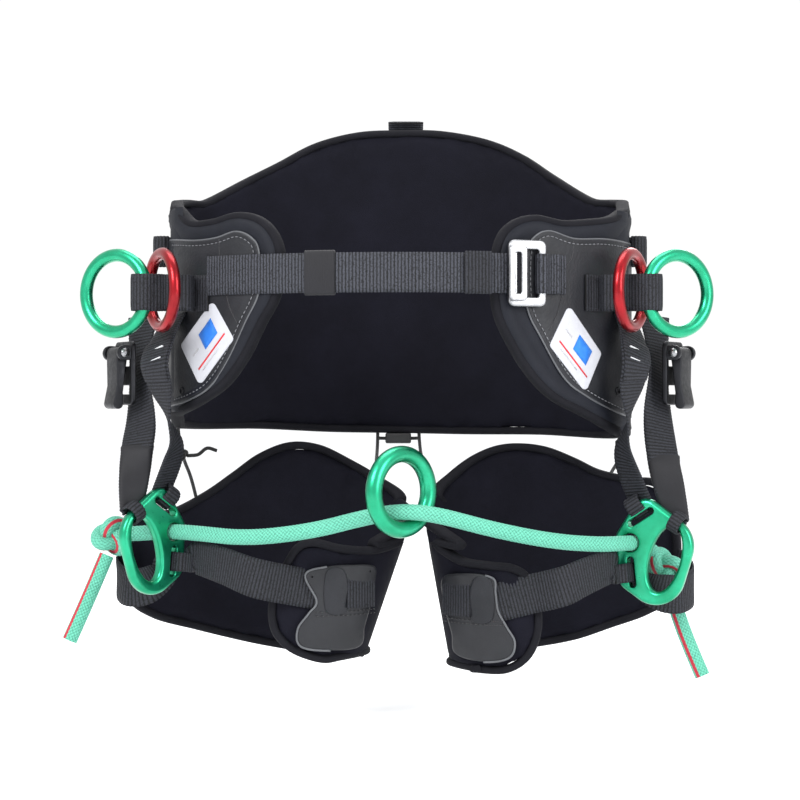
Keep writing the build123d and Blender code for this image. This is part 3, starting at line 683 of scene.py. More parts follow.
def knot_line(centre, size, depth, count, lean=Matrix.Identity(3)):
    """A trefoil's points, for a tied knot."""
    points = []
    for k in range(count + 1):
        t = 2 * math.pi * k / count
        spot = Vector((math.sin(t) + 2 * math.sin(2 * t), depth * math.sin(3 * t),
                       math.cos(t) - 2 * math.cos(2 * t)))
        points.append(Vector(centre) + lean @ spot * size)
    return points


def stitches(name, points, normals, mat, body, length=2.6, gap=1.4, thick=0.75, lift=0.1):
    """A row of thread stitches along a line on a surface, as one piece."""
    fine = resample(np.array(points, float), 0.5)
    normal = spread(normals, np.linspace(0, 1, len(normals)), np.linspace(0, 1, len(fine)))
    parts = []
    run = int(length / 0.5)
    period = int((length + gap) / 0.5)
    for start in range(0, len(fine) - run, period):
        stretch = fine[start:start + run + 1]
        frames = normal[start:start + run + 1]
        arch = [lift + 0.35 * math.sin(math.pi * k / run) for k in range(run + 1)]
        line = np.array([p + n * h for p, n, h in zip(stretch, frames, arch)])
        sizes = [thick / 2 * (0.55 + 0.45 * math.sin(math.pi * k / run)) for k in range(run + 1)]
        parts.append(sweep(line, lambda i: circle(sizes[i], 6), frames))
    obj = join_meshes(name, parts)
    return finish_piece(obj, mat, body)


def bead(name, pairs, section, mat, body):
    """A bar of some section laid along (point, normal) pairs."""
    verts, faces = sweep(np.array([p for p, _ in pairs]), section, [n for _, n in pairs])
    return finish_piece(mesh_object(name, verts, faces), mat, body)


def smooth_closed(points, count):
    """A closed smooth line (Catmull-Rom) through 2-D or 3-D points."""
    points = np.array(points, float)
    size = len(points)
    result = []
    per = max(2, count // size)
    for i in range(size):
        p0, p1, p2, p3 = (points[(i + k) % size] for k in (-1, 0, 1, 2))
        for k in range(per):
            t = k / per
            result.append(0.5 * (2 * p1 + (p2 - p0) * t + (2 * p0 - 5 * p1 + 4 * p2 - p3) * t**2
                                 + (3 * p1 - p0 - 3 * p2 + p3) * t**3))
    return np.array(result)


def smooth_open(points, count):
    """An open smooth line through points, its ends included."""
    points = np.array(points, float)
    padded = np.vstack([2 * points[0] - points[1], points, 2 * points[-1] - points[-2]])
    result = []
    per = max(2, count // (len(points) - 1))
    for i in range(1, len(padded) - 2):
        p0, p1, p2, p3 = padded[i - 1:i + 3]
        for k in range(per):
            t = k / per
            result.append(0.5 * (2 * p1 + (p2 - p0) * t + (2 * p0 - 5 * p1 + 4 * p2 - p3) * t**2
                                 + (3 * p1 - p0 - 3 * p2 + p3) * t**3))
    result.append(points[-1])
    return np.array(result)


# --- camera, light and floor ----------------------------------------------------------------
CAMERA_DISTANCE = 1.6
CAMERA_HEIGHT = -0.095
camera_data = bpy.data.cameras.new("camera")
camera_data.lens = 90
camera_data.sensor_width = 36
camera = bpy.data.objects.new("camera", camera_data)
camera.location = (0, -CAMERA_DISTANCE, CAMERA_HEIGHT)
camera.rotation_euler = (math.radians(90), 0, 0)
bpy.context.collection.objects.link(camera)
bpy.context.scene.camera = camera

world = bpy.data.worlds.new("studio")
world.use_nodes = True
world.node_tree.nodes["Background"].inputs["Color"].default_value = (1.0, 1.0, 1.0, 1)
world.node_tree.nodes["Background"].inputs["Strength"].default_value = 1.03
bpy.context.scene.world = world
bpy.context.scene.view_settings.view_transform = "Standard"


def area_light(name, place, target, size, power):
    data = bpy.data.lights.new(name, "AREA")
    data.shape = "RECTANGLE"
    data.size, data.size_y = size
    data.energy = power
    lamp = bpy.data.objects.new(name, data)
    lamp.location = place
    aim = Vector(target) - Vector(place)
    lamp.rotation_euler = aim.to_track_quat("-Z", "Y").to_euler()
    bpy.context.collection.objects.link(lamp)


area_light("key", (-1.1, -1.5, 1.1), (0, 0, -0.1), (0.9, 0.9), 34)
area_light("fill", (1.4, -1.3, 0.5), (0, 0, -0.1), (0.8, 1.2), 20)
area_light("top", (0, 0.2, 1.6), (0, 0, 0), (1.4, 0.8), 16)
area_light("rim", (0.3, 1.5, 0.9), (0, 0, 0), (1.2, 0.6), 12)

FLOOR_Z = -0.345
bpy.ops.mesh.primitive_plane_add(size=120, location=(0, 0, FLOOR_Z))
floor = bpy.context.object
floor.name = "floor"
floor_mat, _, floor_shader = material("pale_floor", rough=0.9, spec=0.1)
floor_shader.inputs["Base Color"].default_value = (0.9, 0.905, 0.92, 1)
floor_shader.inputs["Emission Color"].default_value = (1, 1, 1, 1)
floor_shader.inputs["Emission Strength"].default_value = 0.14
floor.data.materials.append(floor_mat)

# --- cords: the rope bridge, its tails and the elastic cords, on the CAD's routes ------------
BRIDGE_ROUTE = [
    (-0.213, -0.015, -0.201), (-0.197, -0.018, -0.200), (-0.181, -0.031, -0.198),
    (-0.157, -0.053, -0.198), (-0.116, -0.086, -0.200), (-0.066, -0.108, -0.193),
    (-0.026, -0.118, -0.182), (0.002, -0.121, -0.177), (0.028, -0.119, -0.180),
    (0.070, -0.108, -0.192), (0.116, -0.088, -0.202), (0.154, -0.067, -0.206),
    (0.178, -0.046, -0.206), (0.189, -0.028, -0.208), (0.200, -0.016, -0.215),
]
TAIL_ROUTES = {
    "left": [(-0.232, -0.018, -0.2176), (-0.239, -0.021, -0.235), (-0.249, -0.024, -0.259),
             (-0.260, -0.026, -0.284)],
    "right": [(0.213, -0.015, -0.2426), (0.219, -0.018, -0.262), (0.227, -0.022, -0.286),
              (0.238, -0.026, -0.312)],
}
KNOTS = {"left": (-228, -16, -203), "right": (209, -13, -228)}
CENTRE_CORDS = {
    "left": [(-0.019, 0.1075, -0.1194), (-0.019, 0.1045, -0.131), (-0.0195, 0.090, -0.141),
             (-0.020, 0.070, -0.148), (-0.020, 0.057, -0.1572)],
    "right": [(0.016, 0.1075, -0.1194), (0.0165, 0.1045, -0.131), (0.018, 0.090, -0.143),
              (0.021, 0.070, -0.154), (0.024, 0.057, -0.1703)],
}
SIDE_CORDS = {
    "left": [(-0.1784, 0.006, -0.1145), (-0.178, 0.010, -0.128), (-0.175, 0.020, -0.144),
             (-0.170, 0.030, -0.158), (-0.167, 0.036, -0.1738)],
    "right": [(0.1784, 0.006, -0.122), (0.1784, 0.0085, -0.133), (0.1775, 0.018, -0.143),
              (0.1755, 0.032, -0.149), (0.173, 0.043, -0.1554)],
}
LINK_ROUTE = [(-0.019, 0.1056, -0.1275), (-0.007, 0.1056, -0.1278), (0.004, 0.1056, -0.1278),
              (0.0164, 0.1056, -0.1275)]


def cord_line(route):
    """A cord's line in metres, from its NURBS spline."""
    return spline(route, 0.001)


bridge_line = cord_line(BRIDGE_ROUTE)
bridge = braid("bridge_rope_braid", bridge_line * 1000, 12.0, plaits=12, around=96)
finish_piece(bridge, ROPE, "root", ["bridge_rope"])

tails, knots = {}, {}
for side, sign in SIDES.items():
    tail_line = cord_line(TAIL_ROUTES[side])
    tail = braid(f"rope_tail_braid_{side}", tail_line * 1000, 12.0, plaits=12, tracer=True,
                 around=96)
    finish_piece(tail, ROPE, "root", [f"rope_tail_{side}"])
    tails[side] = (tail, tail_line)
    lean = Matrix.Rotation(math.radians(35 * sign), 3, "Y")
    turns = knot_line(KNOTS[side], 3.9, 1.35, 120, lean)
    knot = braid(f"rope_knot_turns_{side}", turns, 11.0, plaits=12, tracer=True, around=72,
                 step=0.7)
    finish_piece(knot, ROPE, "root", [f"rope_knot_{side}"])
    knots[side] = knot


def shock_cord(name, route, node, leg=None):
    """A black elastic cord; leg is the leg loop it stretches to."""
    line = cord_line(route)
    obj = braid(name, line * 1000, 3.0, plaits=6, depth=0.16, around=36, step=0.25)
    finish_piece(obj, SHOCK, None if leg else "root", [node])
    if leg:
        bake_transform(obj)
    return obj, line


elastic = {}
for side in SIDES:
    for place, routes in (("centre", CENTRE_CORDS), ("side", SIDE_CORDS)):
        elastic[place, side] = shock_cord(
            f"shock_cord_{place}_{side}", routes[side], f"elastic_{place}_{side}", side)
link, link_line = shock_cord("shock_cord_link", LINK_ROUTE, "elastic_link")

# --- rings ----------------------------------------------------------------------------------
TAB_Z = -13.0
LIMB = {"left": (-195.0, -74.0), "right": (190.0, -74.0)}
SIDE_RING_R = 29.5
SIDE_YAW = math.radians(31)
GEAR_RING_R = 28.0
GEAR_YAW = math.radians(27)
GEAR_CENTRE = {"left": (-182.0, -71.0, -11.0), "right": (177.0, -71.0, -11.0)}
CENTRE_YAW = math.radians(46)


def ring(name, node_name, centre, normal, radius, section, mat, body, squash=1.0):
    """A forged round ring; squash under 1 would flatten its section on its faces."""
    normal = Vector(normal).normalized()
    across = normal.cross(Vector((0, 0, 1))).normalized()
    upward = across.cross(normal)
    count = 120
    line = np.array([
        Vector(centre) + (across * math.cos(a) + upward * math.sin(a)) * radius
        for a in (2 * math.pi * k / count for k in range(count))
    ])
    verts, faces = [], []
    sides = 28
    for k in range(count):
        a = 2 * math.pi * k / count
        out = across * math.cos(a) + upward * math.sin(a)
        for j in range(sides):
            t = 2 * math.pi * j / sides
            verts.append(Vector(line[k]) + out * (section / 2 * math.cos(t))
                         + normal * (section / 2 * squash * math.sin(t)))
    for k in range(count):
        for j in range(sides):
            a, b = k * sides + j, k * sides + (j + 1) % sides
            c, d = ((k + 1) % count) * sides + (j + 1) % sides, ((k + 1) % count) * sides + j
            faces.append((a, d, c, b))
    obj = mesh_object(name, verts, faces)
    return finish_piece(obj, mat, body, [node_name])


for side, sign in SIDES.items():
    outwards = (sign * math.cos(SIDE_YAW), math.sin(SIDE_YAW))
    centre = (LIMB[side][0] + outwards[0] * (SIDE_RING_R - 2),
              LIMB[side][1] + outwards[1] * (SIDE_RING_R - 2), TAB_Z)
    ring(f"side_ring_forged_{side}", f"side_ring_{side}", centre,
         (-outwards[1], outwards[0], 0), SIDE_RING_R, 10.0, GREEN, f"side_ring_{side}")
    ring(f"gear_ring_forged_{side}", f"gear_ring_{side}", GEAR_CENTRE[side],
         (sign * math.cos(GEAR_YAW), -math.sin(GEAR_YAW), 0), GEAR_RING_R, 9.0, RED,
         f"gear_ring_{side}")
ring("centre_ring_forged", "centre_ring", (1, -121, -163),
     (math.cos(CENTRE_YAW), -math.sin(CENTRE_YAW), 0), 28.0, 12.5, GREEN, "centre_ring")

# --- bridge rings ---------------------------------------------------------------------------
BRIDGE_T = 9.0
BRIDGE = {"left": ((-194, -50, -206), 47.0), "right": ((200, -50, -214), 27.0)}
HULL = [(-5, 6, 24), (2, -16, 24), (9, 30, 12.5), (22, 10, 12.5), (20, -18, 12.5)]
RIM_CENTRES = {"riser": (18, 37), "leg": (29, -16), "rear": (-15.5, 24.5)}


def bridge_axes(side):
    centre, yaw = BRIDGE[side]
    yaw = math.radians(yaw)
    sign = SIDES[side]
    return (Vector(centre), Vector((-sign * math.cos(yaw), math.sin(yaw), 0)),
            Vector((-sign * math.sin(yaw), -math.cos(yaw), 0)))


def on_bridge(side, u, v, lift=0.0):
    centre, inward, normal = bridge_axes(side)
    return centre + inward * u + normal * lift + Vector((0, 0, v))


def hull_outline(circles, count=200):
    """The convex outline round some circles."""
    points = [
        (u + r * math.cos(2 * math.pi * k / count), v + r * math.sin(2 * math.pi * k / count))
        for u, v, r in circles for k in range(count)
    ]
    points = sorted(set(points))

    def half(sequence):
        chain = []
        for p in sequence:
            while len(chain) > 1 and (
                (chain[-1][0] - chain[-2][0]) * (p[1] - chain[-2][1])
                - (chain[-1][1] - chain[-2][1]) * (p[0] - chain[-2][0])
            ) <= 0:
                chain.pop()
            chain.append(p)
        return chain[:-1]

    loop = np.array(half(points) + half(points[::-1]))
    closed = np.vstack([loop, loop[:1]])
    return resample(np.hstack([closed, np.zeros((len(closed), 1))]), 1.6)[:-1, :2]


def ellipse(a, b, centre, count=72, tilt=0.0):
    turn = math.radians(tilt)
    loop = []
    for k in range(count):
        u, v = a * math.cos(2 * math.pi * k / count), b * math.sin(2 * math.pi * k / count)
        loop.append((centre[0] + u * math.cos(turn) - v * math.sin(turn),
                     centre[1] + u * math.sin(turn) + v * math.cos(turn)))
    return loop


def multi_rows(name, loops, bevels, thickness, place, mat, body, nodes):
    """A plate whose loops each have their own edge rounding."""
    half = thickness / 2
    steps = 5
    turns = [math.radians(90 * k / steps) for k in range(steps + 1)]
    rows = [(1 - math.sin(turn), 1 - math.cos(turn)) for turn in turns]
    turned = turned_loops(loops)
    verts, flat_rows = [], []
    full = [(share, -half, rise) for share, rise in rows]
    full += [(share, half, rise) for share, rise in reversed(rows)]
    for share, base, rise in full:
        starts, flats = [], []
        for loop, bevel in zip(turned, bevels):
            moved = moved_in(loop, bevel * share)
            height = base - math.copysign(bevel * rise, base)
            starts.append(len(verts))
            flats.append(moved)
            verts.extend(place(u, v, height) for u, v in moved)
        flat_rows.append((starts, flats, base))
    faces = edge_faces(flat_rows)
    faces += cap(flat_rows[-1], verts, place, 3.0, False)
    faces += cap(flat_rows[0], verts, place, 3.0, True)
    obj = mesh_object(name, verts, faces)
    return finish_piece(obj, mat, body, nodes)


for side, sign in SIDES.items():
    centre, inward, normal = bridge_axes(side)
    loops = [hull_outline(HULL), ellipse(12.5, 26.5, (-6, -4), tilt=17),
             ellipse(7.3, 7.3, (21.5, 8), 48), slot_loop(24, 5.5, (13, 28), -33),
             slot_loop(24, 5.5, (20.5, -15), 84)]
    multi_rows(f"bridge_ring_forged_{side}", loops, (3.6, 3.0, 0.9, 1.2, 0.9), BRIDGE_T,
               flat_place(centre, inward, (0, 0, 1)), GREEN, "root",
               [f"bridge_ring_{side}"])

# --- buckle ---------------------------------------------------------------------------------
def on_front_place(x, lift):
    """A plane on the oval's front face at x."""
    yaw = math.asin(x / BACK_R)
    reach = BACK_R + lift
    origin = (reach * math.sin(yaw), ARC_K - reach * math.cos(yaw), 0)
    return flat_place(origin, (math.cos(yaw), math.sin(yaw), 0), (0, 0, 1))


BUCKLE_X = 93.0
multi_rows("buckle_frame_cast", [rounded_rectangle(31, 50, 5),
                                 rounded_rectangle(18, 36, 2, (0.5, 0))],
           (1.3, 0.9), 3.6, on_front_place(BUCKLE_X, BELT_OUT + 0.4 + 1.8), SILVER, "root",
           ["buckle_frame"])
multi_rows("buckle_plate_cast", [rounded_rectangle(15, 42, 4, (-9, 0)),
                                 rounded_rectangle(5, 31, 1.5, (-9, 0))],
           (1.0, 0.7), 2.6, on_front_place(BUCKLE_X, BELT_OUT + 0.8 + 3.6 + 1.3), SILVER,
           "buckle_plate", ["buckle_plate"])
# The webbing turns round the frame's outer bar.
place = on_front_place(BUCKLE_X, 6.2)
turn = [place(u, 0, h) for u, h in (
    (28, -2.6), (20, -1.6), (16.4, 1.4), (13.4, 3.4), (10.6, 3.0), (9.2, 0.4), (9.4, -2.8),
    (14, -4.4), (22, -3.4))]
line = smooth_open(turn, 90)
strap("buckle_turn_right", [strap_part(line, plan_normals(line), 30)], WEB_BELT, "root")

# --- cam adjusters --------------------------------------------------------------------------
CAM = {"left": (-215, -19.5, -74), "right": (213.5, -20, -74)}
CAM_TURN = math.radians(62)
EAR_OFFSET = 16
PIN_HALF = 19.6
for side, sign in SIDES.items():
    across = Vector((math.cos(CAM_TURN), sign * math.sin(CAM_TURN), 0))
    outward = Vector((sign * math.sin(CAM_TURN), -math.cos(CAM_TURN), 0))
    base = Vector(CAM[side])
    place = flat_place(base + outward * 2, across, (0, 0, 1))
    multi_rows(f"cam_frame_pressed_{side}", [
        rounded_rectangle(38, 50, 5), rounded_rectangle(27, 7, 1.5, (0, 9)),
        rounded_rectangle(27, 7, 1.5, (0, -13))], (1.2, 0.8, 0.8), 4.0, place, BLACK_ALLOY,
        "root", [f"cam_frame_{side}"])
    pin = base + outward * 9 + Vector((0, 0, 16))
    for number, offset in enumerate((-EAR_OFFSET, EAR_OFFSET)):
        ear = flat_place(pin + across * offset, outward, (0, 0, 1))
        loop = hull_outline([(0, 0, 6), (-6, 4, 1.6), (-6, -4, 1.6)])
        multi_rows(f"cam_ear_{number}_{side}", [loop], (0.9,), 4.0, ear, BLACK_ALLOY, "root",
                   ())
    steps = np.linspace(-PIN_HALF, PIN_HALF, 24)
    heads = [circle(3.6 if abs(abs(d) - 19) < 1.4 else 2.5, 20) for d in steps]
    verts, faces = sweep(np.array([pin + across * d for d in steps]), lambda i: heads[i])
    finish_piece(mesh_object(f"cam_pin_turned_{side}", verts, faces), SILVER, "root",
                 [f"cam_pin_{side}"])
    side_view = flat_place(pin, outward, (0, 0, 1))
    profile = hull_outline([(0, 0, 4.6), (1.6, -30, 2.4)], 60)
    tip = hull_outline([(1.6, -24, 2.2), (3, -40, 4)], 60)
    for number, loop in enumerate((profile, tip)):
        multi_rows(f"cam_lever_{'arm' if number == 0 else 'tip'}_{side}", [loop], (1.0,),
                   24.0 - 0.6 * number, side_view, BLACK_ALLOY, f"cam_lever_{side}",
                   [f"cam_lever_{side}"] if number == 0 else ())

# --- waist belt -----------------------------------------------------------------------------
def belt_line(x0, x1, lift, front=True, z=0.0, step=4.0):
    """Points and normals along the oval from x0 to x1."""
    count = max(3, int(abs(x1 - x0) / step) + 1)
    pairs = [on_oval(x, z, lift, front) for x in np.linspace(x0, x1, count)]
    return [p for p, _ in pairs], [n for _, n in pairs]


MID = (BELT_IN + BELT_OUT) / 2
# Each belt's web, its CAD solid and its line: from x to x, height, front or back.
BELT_RUNS = {"waist_belt_web_left": ("waist_belt_left", -146, 80, MID, True),
             "waist_belt_web_right": ("waist_belt_right", 102, 124, MID, True),
             "belt_rear_web": ("belt_rear", -178, 178, 1.2, False)}
for name, (node, *run) in BELT_RUNS.items():
    strap(name, [strap_part(*belt_line(*run), WEBBING)], WEB_BELT, "root", [node])

fold = [on_oval(x, 0, lift)[0] for x, lift in (
    (67, 5.1), (60, 5.1), (53, 5.1), (48.6, 5.3), (47.4, 6.1), (48.6, 6.8), (53, 7.0),
    (60, 6.9), (66.5, 6.7))]
line = smooth_open(fold, 80)
strap("belt_folded_end_web", [strap_part(line, plan_normals(line), 32, 1.7, ribs=0.45)],
      WEB_DARK, "root", ["belt_folded_end"])

keeper_points, keeper_normals = belt_line(-70, -48, 2.8, step=0.4)
keeper = [
    rounded_bar(33.4 + 0.5 * (i % 4 < 2), 5.0 + 0.3 * (i % 4 < 2))
    for i in range(len(keeper_points))
]
verts, faces = sweep(np.array(keeper_points), lambda i: keeper[i], keeper_normals)
finish_piece(mesh_object("belt_keeper_elastic", verts, faces), TAPE, "belt_keeper",
             ["belt_keeper"])

# --- ring tabs on the hips ------------------------------------------------------------------
LOOP_R = 9.4
for side, sign in SIDES.items():
    limb = Vector((*LIMB[side], TAB_Z))
    inward = Vector((-sign, 0.2, 0)).normalized()
    out = Vector((0, -1, 0))
    out = (out - inward * out.dot(inward)).normalized()
    start_x = LIMB[side][0] - sign * 50
    flat = [on_oval(start_x + sign * d, TAB_Z, PANEL_T + 1.4)[0] for d in (0, 6, 12)]
    flat += [limb + inward * a + out * b for a, b in (
        (33, 1.6), (22, 1.9), (15.5, 3.2), (10.5, 6.6))]
    flat += [limb + (inward * math.cos(math.radians(a)) + out * math.sin(math.radians(a)))
             * LOOP_R for a in range(70, 291, 22)]
    flat += [limb + inward * a - out * b for a, b in ((10.5, 6.6), (15.5, 3.4), (22, 1.9))]
    line = smooth_open(flat, 200)
    strap(f"ring_tab_web_{side}", [strap_part(line, plan_normals(line), 28)], WEB_DARK, "root",
          [f"ring_tab_{side}"])

# --- risers ---------------------------------------------------------------------------------
FRONT_RISER = {
    "left": [(-30, 175.5, -40, -59, 1.0), (-46, 183, -52, -52, 1.0), (-66, 188, -66, -42, 1.0),
             (-86, 184, -64, -50, 1.0), (-112, 178, -59, -84, 0.8),
             (-136, 175, -50, -112, 0.9)],
    "right": [(-30, 175.5, -40, -59, 1.0), (-46, 180, -52, -52, 1.0),
              (-66, 181, -66, -42, 1.0), (-86, 178, -64, -50, 1.0),
              (-112, 176, -59, -84, 0.8), (-140, 174, -51, -116, 0.9)],
}
REAR_RISER = {
    "left": [(-28, 205, -4, -34, 1.0), (-70, 207, -14, -56, 1.0), (-110, 204, -28, -38, 1.0),
             (-138, 205, -44, -12, 0.9)],
    "right": [(-28, 203, -4, -34, 1.0), (-70, 205, -14, -56, 1.0), (-110, 203, -28, -38, 1.0),
              (-148, 206, -44, -14, 0.9)],
}
# Where each riser ends on the bridge ring, its bar's radius and its slope.
RISER_END = {"front": (13.5, 31, -7.0), "rear": (-13, 25, -7.4)}
RISER_BAR_R = {"front": 7.1, "rear": 7.4}
RISER_SLOPE = {"front": math.radians(-33), "rear": math.radians(30)}
BARTACK_Z = (-57, -65)
FOLD_Z = (-82, -50)


def bar_along(inward, slope):
    """The direction of a slot's bar in the bridge ring's plane."""
    return inward * math.cos(slope) + Vector((0, 0, math.sin(slope)))


def twisted(points, widths, shares, width=WEBBING, thickness=WEB_T, ribs=0.32):
    """A strap part through stations that each have a width direction and a share of width."""
    line = smooth_open(points, 30 * len(points))
    across = smooth_open(widths, 30 * len(points))
    share = smooth_open([(s, 0, 0) for s in shares], 30 * len(points))[:, 0]
    tangents = np.gradient(line, axis=0)
    normals = [Vector(w).cross(Vector(t)).normalized() for w, t in zip(across, tangents)]
    return strap_part(line, normals, width, thickness, share, ribs)


def level_width(bar, width):
    """A bar's direction laid level, on the same hand as a width."""
    level = Vector((bar.x, bar.y, 0)).normalized()
    return level if level.dot(width) > 0 else -level


def towards_viewer(width, tangent):
    """The normal of a strap's face that looks forward."""
    facing = Vector(width).cross(Vector(tangent)).normalized()
    return facing if facing.y < 0 else -facing


def riser_widths(side, rows):
    """Width directions of a riser's stations."""
    sign = SIDES[side]
    return [Vector((-sign * math.cos(math.radians(turn)), math.sin(math.radians(turn)), 0))
            for _, _, _, turn, _ in rows]


for side, sign in SIDES.items():
    _, inward, _ = bridge_axes(side)
    bar = bar_along(inward, RISER_SLOPE["front"])
    rim = on_bridge(side, *RIM_CENTRES["riser"])
    rows = FRONT_RISER[side]
    points = [Vector((sign * out, y, z)) for z, out, y, _, _ in rows]
    widths = riser_widths(side, rows)
    shares = [row[4] for row in rows]
    level = level_width(bar, widths[-1])
    end = on_bridge(side, *RISER_END["front"])
    parts = [
        twisted(points + [end], widths + [level], shares + [0.62]),
        teardrop(rim, bar, end, RISER_BAR_R["front"], 9, 13),
    ]
    strap(f"front_riser_web_{side}", parts, WEB_DARK, "root", [f"front_riser_{side}"])
    line = smooth_open(points, 200)
    across = smooth_open(widths, 200)
    for number, z in enumerate(BARTACK_Z):
        row = int(np.argmin(np.abs(line[:, 2] - z)))
        facing = towards_viewer(across[row], line[row + 1] - line[row])
        wide = Vector(across[row]).normalized()
        wide = wide if wide.x * sign < 0 else -wide
        ends = [Vector(line[row]) + facing * 1.7 + wide * q + Vector((0, 0, q * 0.28))
                for q in np.linspace(-2, 8, 9)]
        section = [(0.9 * math.cos(a), 0.5 * math.sin(a))
                   for a in (2 * math.pi * k / 12 for k in range(12))]
        bead(f"riser_bartack_{number}_{side}", [(p, facing) for p in ends], section,
             WHITE_STITCH, "root")
    folded = [k for k in range(len(line)) if FOLD_Z[0] < line[k, 2] < FOLD_Z[1]][::4]
    facing = [towards_viewer(across[k], line[k + 1] - line[k]) for k in folded]
    fold = [Vector(line[k]) + f * 1.7 for k, f in zip(folded, facing)]
    strap(f"riser_folded_end_{side}", [strap_part(fold, facing, 28.5, 1.5)], WEB_DARK, "root")

    bar = bar_along(inward, RISER_SLOPE["rear"])
    rim = on_bridge(side, *RIM_CENTRES["rear"])
    rows = REAR_RISER[side]
    points = [Vector((sign * out, y, z)) for z, out, y, _, _ in rows]
    widths = riser_widths(side, rows)
    level = level_width(bar, widths[-1])
    end = on_bridge(side, *RISER_END["rear"])
    parts = [
        twisted(points + [end], widths + [level], [1, 1, 1, 0.85, 0.5]),
        teardrop(rim, bar, end, RISER_BAR_R["rear"], 9, 10),
    ]
    strap(f"rear_riser_web_{side}", parts, WEB_DARK, "root", [f"rear_riser_{side}"])
    tape = twisted([points[-1] + (points[-2] - points[-1]) * 0.25, points[-1],
                    points[-1].lerp(end, 0.5), end], [widths[-1], widths[-1],
                    widths[-1].lerp(level, 0.5), level], [0.98, 0.95, 0.85, 0.72],
                   27, 4.4, 0.0)
    obj = strap(f"riser_tape_{side}", [tape], TAPE, "root", [f"riser_sleeve_{side}"])

# --- loops sewn to the back and the hips ----------------------------------------------------
hang = smooth_open([(5, y, z) for y, z in (
    (112.6, 142.0), (118, 142.8), (122.6, 139.5), (123.8, 134), (123.9, 121), (123.8, 108),
    (122.6, 102.5), (118, 99.2), (112.6, 100))], 100)
normals = [Vector(t).cross(Vector((1, 0, 0))).normalized() for t in np.gradient(hang, axis=0)]
strap("hang_loop_web", [strap_part(hang, normals, WEBBING)], WEB_BELT, "root", ["hang_loop"])
SIDE_LOOP = (188, -9, 23)
SIDE_LOOP_R = 7.3
for side, sign in SIDES.items():
    out, depth, z = SIDE_LOOP
    turn = [(sign * out + sign * SIDE_LOOP_R * math.cos(math.radians(a)),
             depth + SIDE_LOOP_R * math.sin(math.radians(a)), z)
            for a in range(-130, 131, 20)]
    line = smooth_open(turn, 90)
    strap(f"side_loop_web_{side}", [strap_part(line, plan_normals(line), 24)], WEB_DARK,
          "root", [f"side_loop_{side}"])

# --- padded back, wings and leg pads --------------------------------------------------------
BACK_OUTLINE = [
    (0, 132), (36, 131), (74, 123), (104, 109), (130, 90), (160, 69), (188, 57), (200, 0),
    (196, -112), (180, -123), (120, -121), (60, -121), (0, -120), (-60, -119), (-120, -116),
    (-180, -115), (-196, -106), (-200, 0), (-186, 58), (-163, 67), (-132, 86), (-104, 102),
    (-72, 120), (-36, 130),
]
WING_OUTLINES = {
    "left": [
        (-205, 58), (-182, 57), (-164, 42), (-145, 41), (-125, 45), (-108, 41), (-96, 29),
        (-91, 10), (-95, -16), (-106, -36), (-120, -62), (-136, -82), (-156, -95),
        (-178, -104), (-205, -112), (-215, -40),
    ],
    "right": [
        (205, 57), (184, 55), (166, 45), (146, 41), (124, 39), (104, 42), (88, 38), (77, 27),
        (72, 5), (74, -28), (86, -54), (101, -76), (118, -92), (140, -103), (178, -121),
        (205, -126), (215, -40),
    ],
}
PANEL_OUTLINES = {
    "left": [
        (-205, 34), (-180, 31), (-158, 28), (-140, 29), (-124, 33), (-112, 28), (-106, 17),
        (-106, -13), (-117, -37), (-130, -64), (-144, -84), (-160, -94), (-180, -100),
        (-205, -104), (-212, -40),
    ],
    "right": [
        (205, 28), (182, 28), (156, 29), (132, 28), (112, 33), (100, 27), (94, 14),
        (95, -24), (106, -48), (124, -78), (142, -92), (164, -103), (184, -110),
        (205, -114), (212, -40),
    ],
}
LABEL_CORNERS = {
    "left": [(-142, -20), (-126, -48), (-153, -83), (-168, -53)],
    "right": [(127, -24), (153, -60), (141, -88), (113, -53)],
}
HIP_EDGE = 182.8
# Heights over the oval of what is laid on the panels.
PANEL_THREAD_H, PANEL_BEAD_H, PANEL_SEAM_H, EYELET_H = 1.55, 1.35, 1.65, 2.1
EYELET_XZ = (168, -88)


def puff(name, node_name, shrink, limit, body, nodes):
    """A padded piece swollen by Cloth from a copy of its CAD solid, a little smaller."""
    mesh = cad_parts[node_name].data.copy()
    obj = bpy.data.objects.new(name, mesh)
    bpy.context.collection.objects.link(obj)
    obj.modifiers.new("remesh", "REMESH").voxel_size = 0.004
    small = obj.modifiers.new("shrink", "DISPLACE")
    small.strength = -shrink
    small.mid_level = 0.0
    rest = bake(obj)
    start = np.array([v.co for v in rest.vertices])
    outward = np.array([v.normal for v in rest.vertices])
    obj.data = rest
    sim = obj.modifiers.new("cloth", "CLOTH")
    sim.settings.use_pressure = True
    sim.settings.uniform_pressure_force = 4
    sim.settings.effector_weights.gravity = 0
    sim.settings.quality = 4
    sim.point_cache.frame_start = 1
    sim.point_cache.frame_end = 20
    for step in range(1, 21):
        bpy.context.scene.frame_set(step)
    rest = bake(obj)
    moved = np.array([v.co for v in rest.vertices]) - start
    swell = np.clip(np.sum(moved * outward, axis=1), 0.0, limit)
    rest.vertices.foreach_set("co", (start + outward * swell[:, None]).ravel())
    bpy.context.scene.frame_set(1)
    obj.data = rest
    obj.modifiers.new("subdivision", "SUBSURF").levels = 1
    obj.modifiers["subdivision"].render_levels = 1
    obj.data = bake(obj)
    finish_piece(obj, NEOPRENE, body, nodes)
    return obj


def bake(obj):
    """The object's evaluated mesh, with its modifiers taken off."""
    bpy.context.view_layer.update()
    graph = bpy.context.evaluated_depsgraph_get()
    mesh = bpy.data.meshes.new_from_object(obj.evaluated_get(graph))
    obj.modifiers.clear()
    return mesh


puff("back_pad_quilt", "back_pad", 0.0016, 0.0024, "root", ["back_pad"])


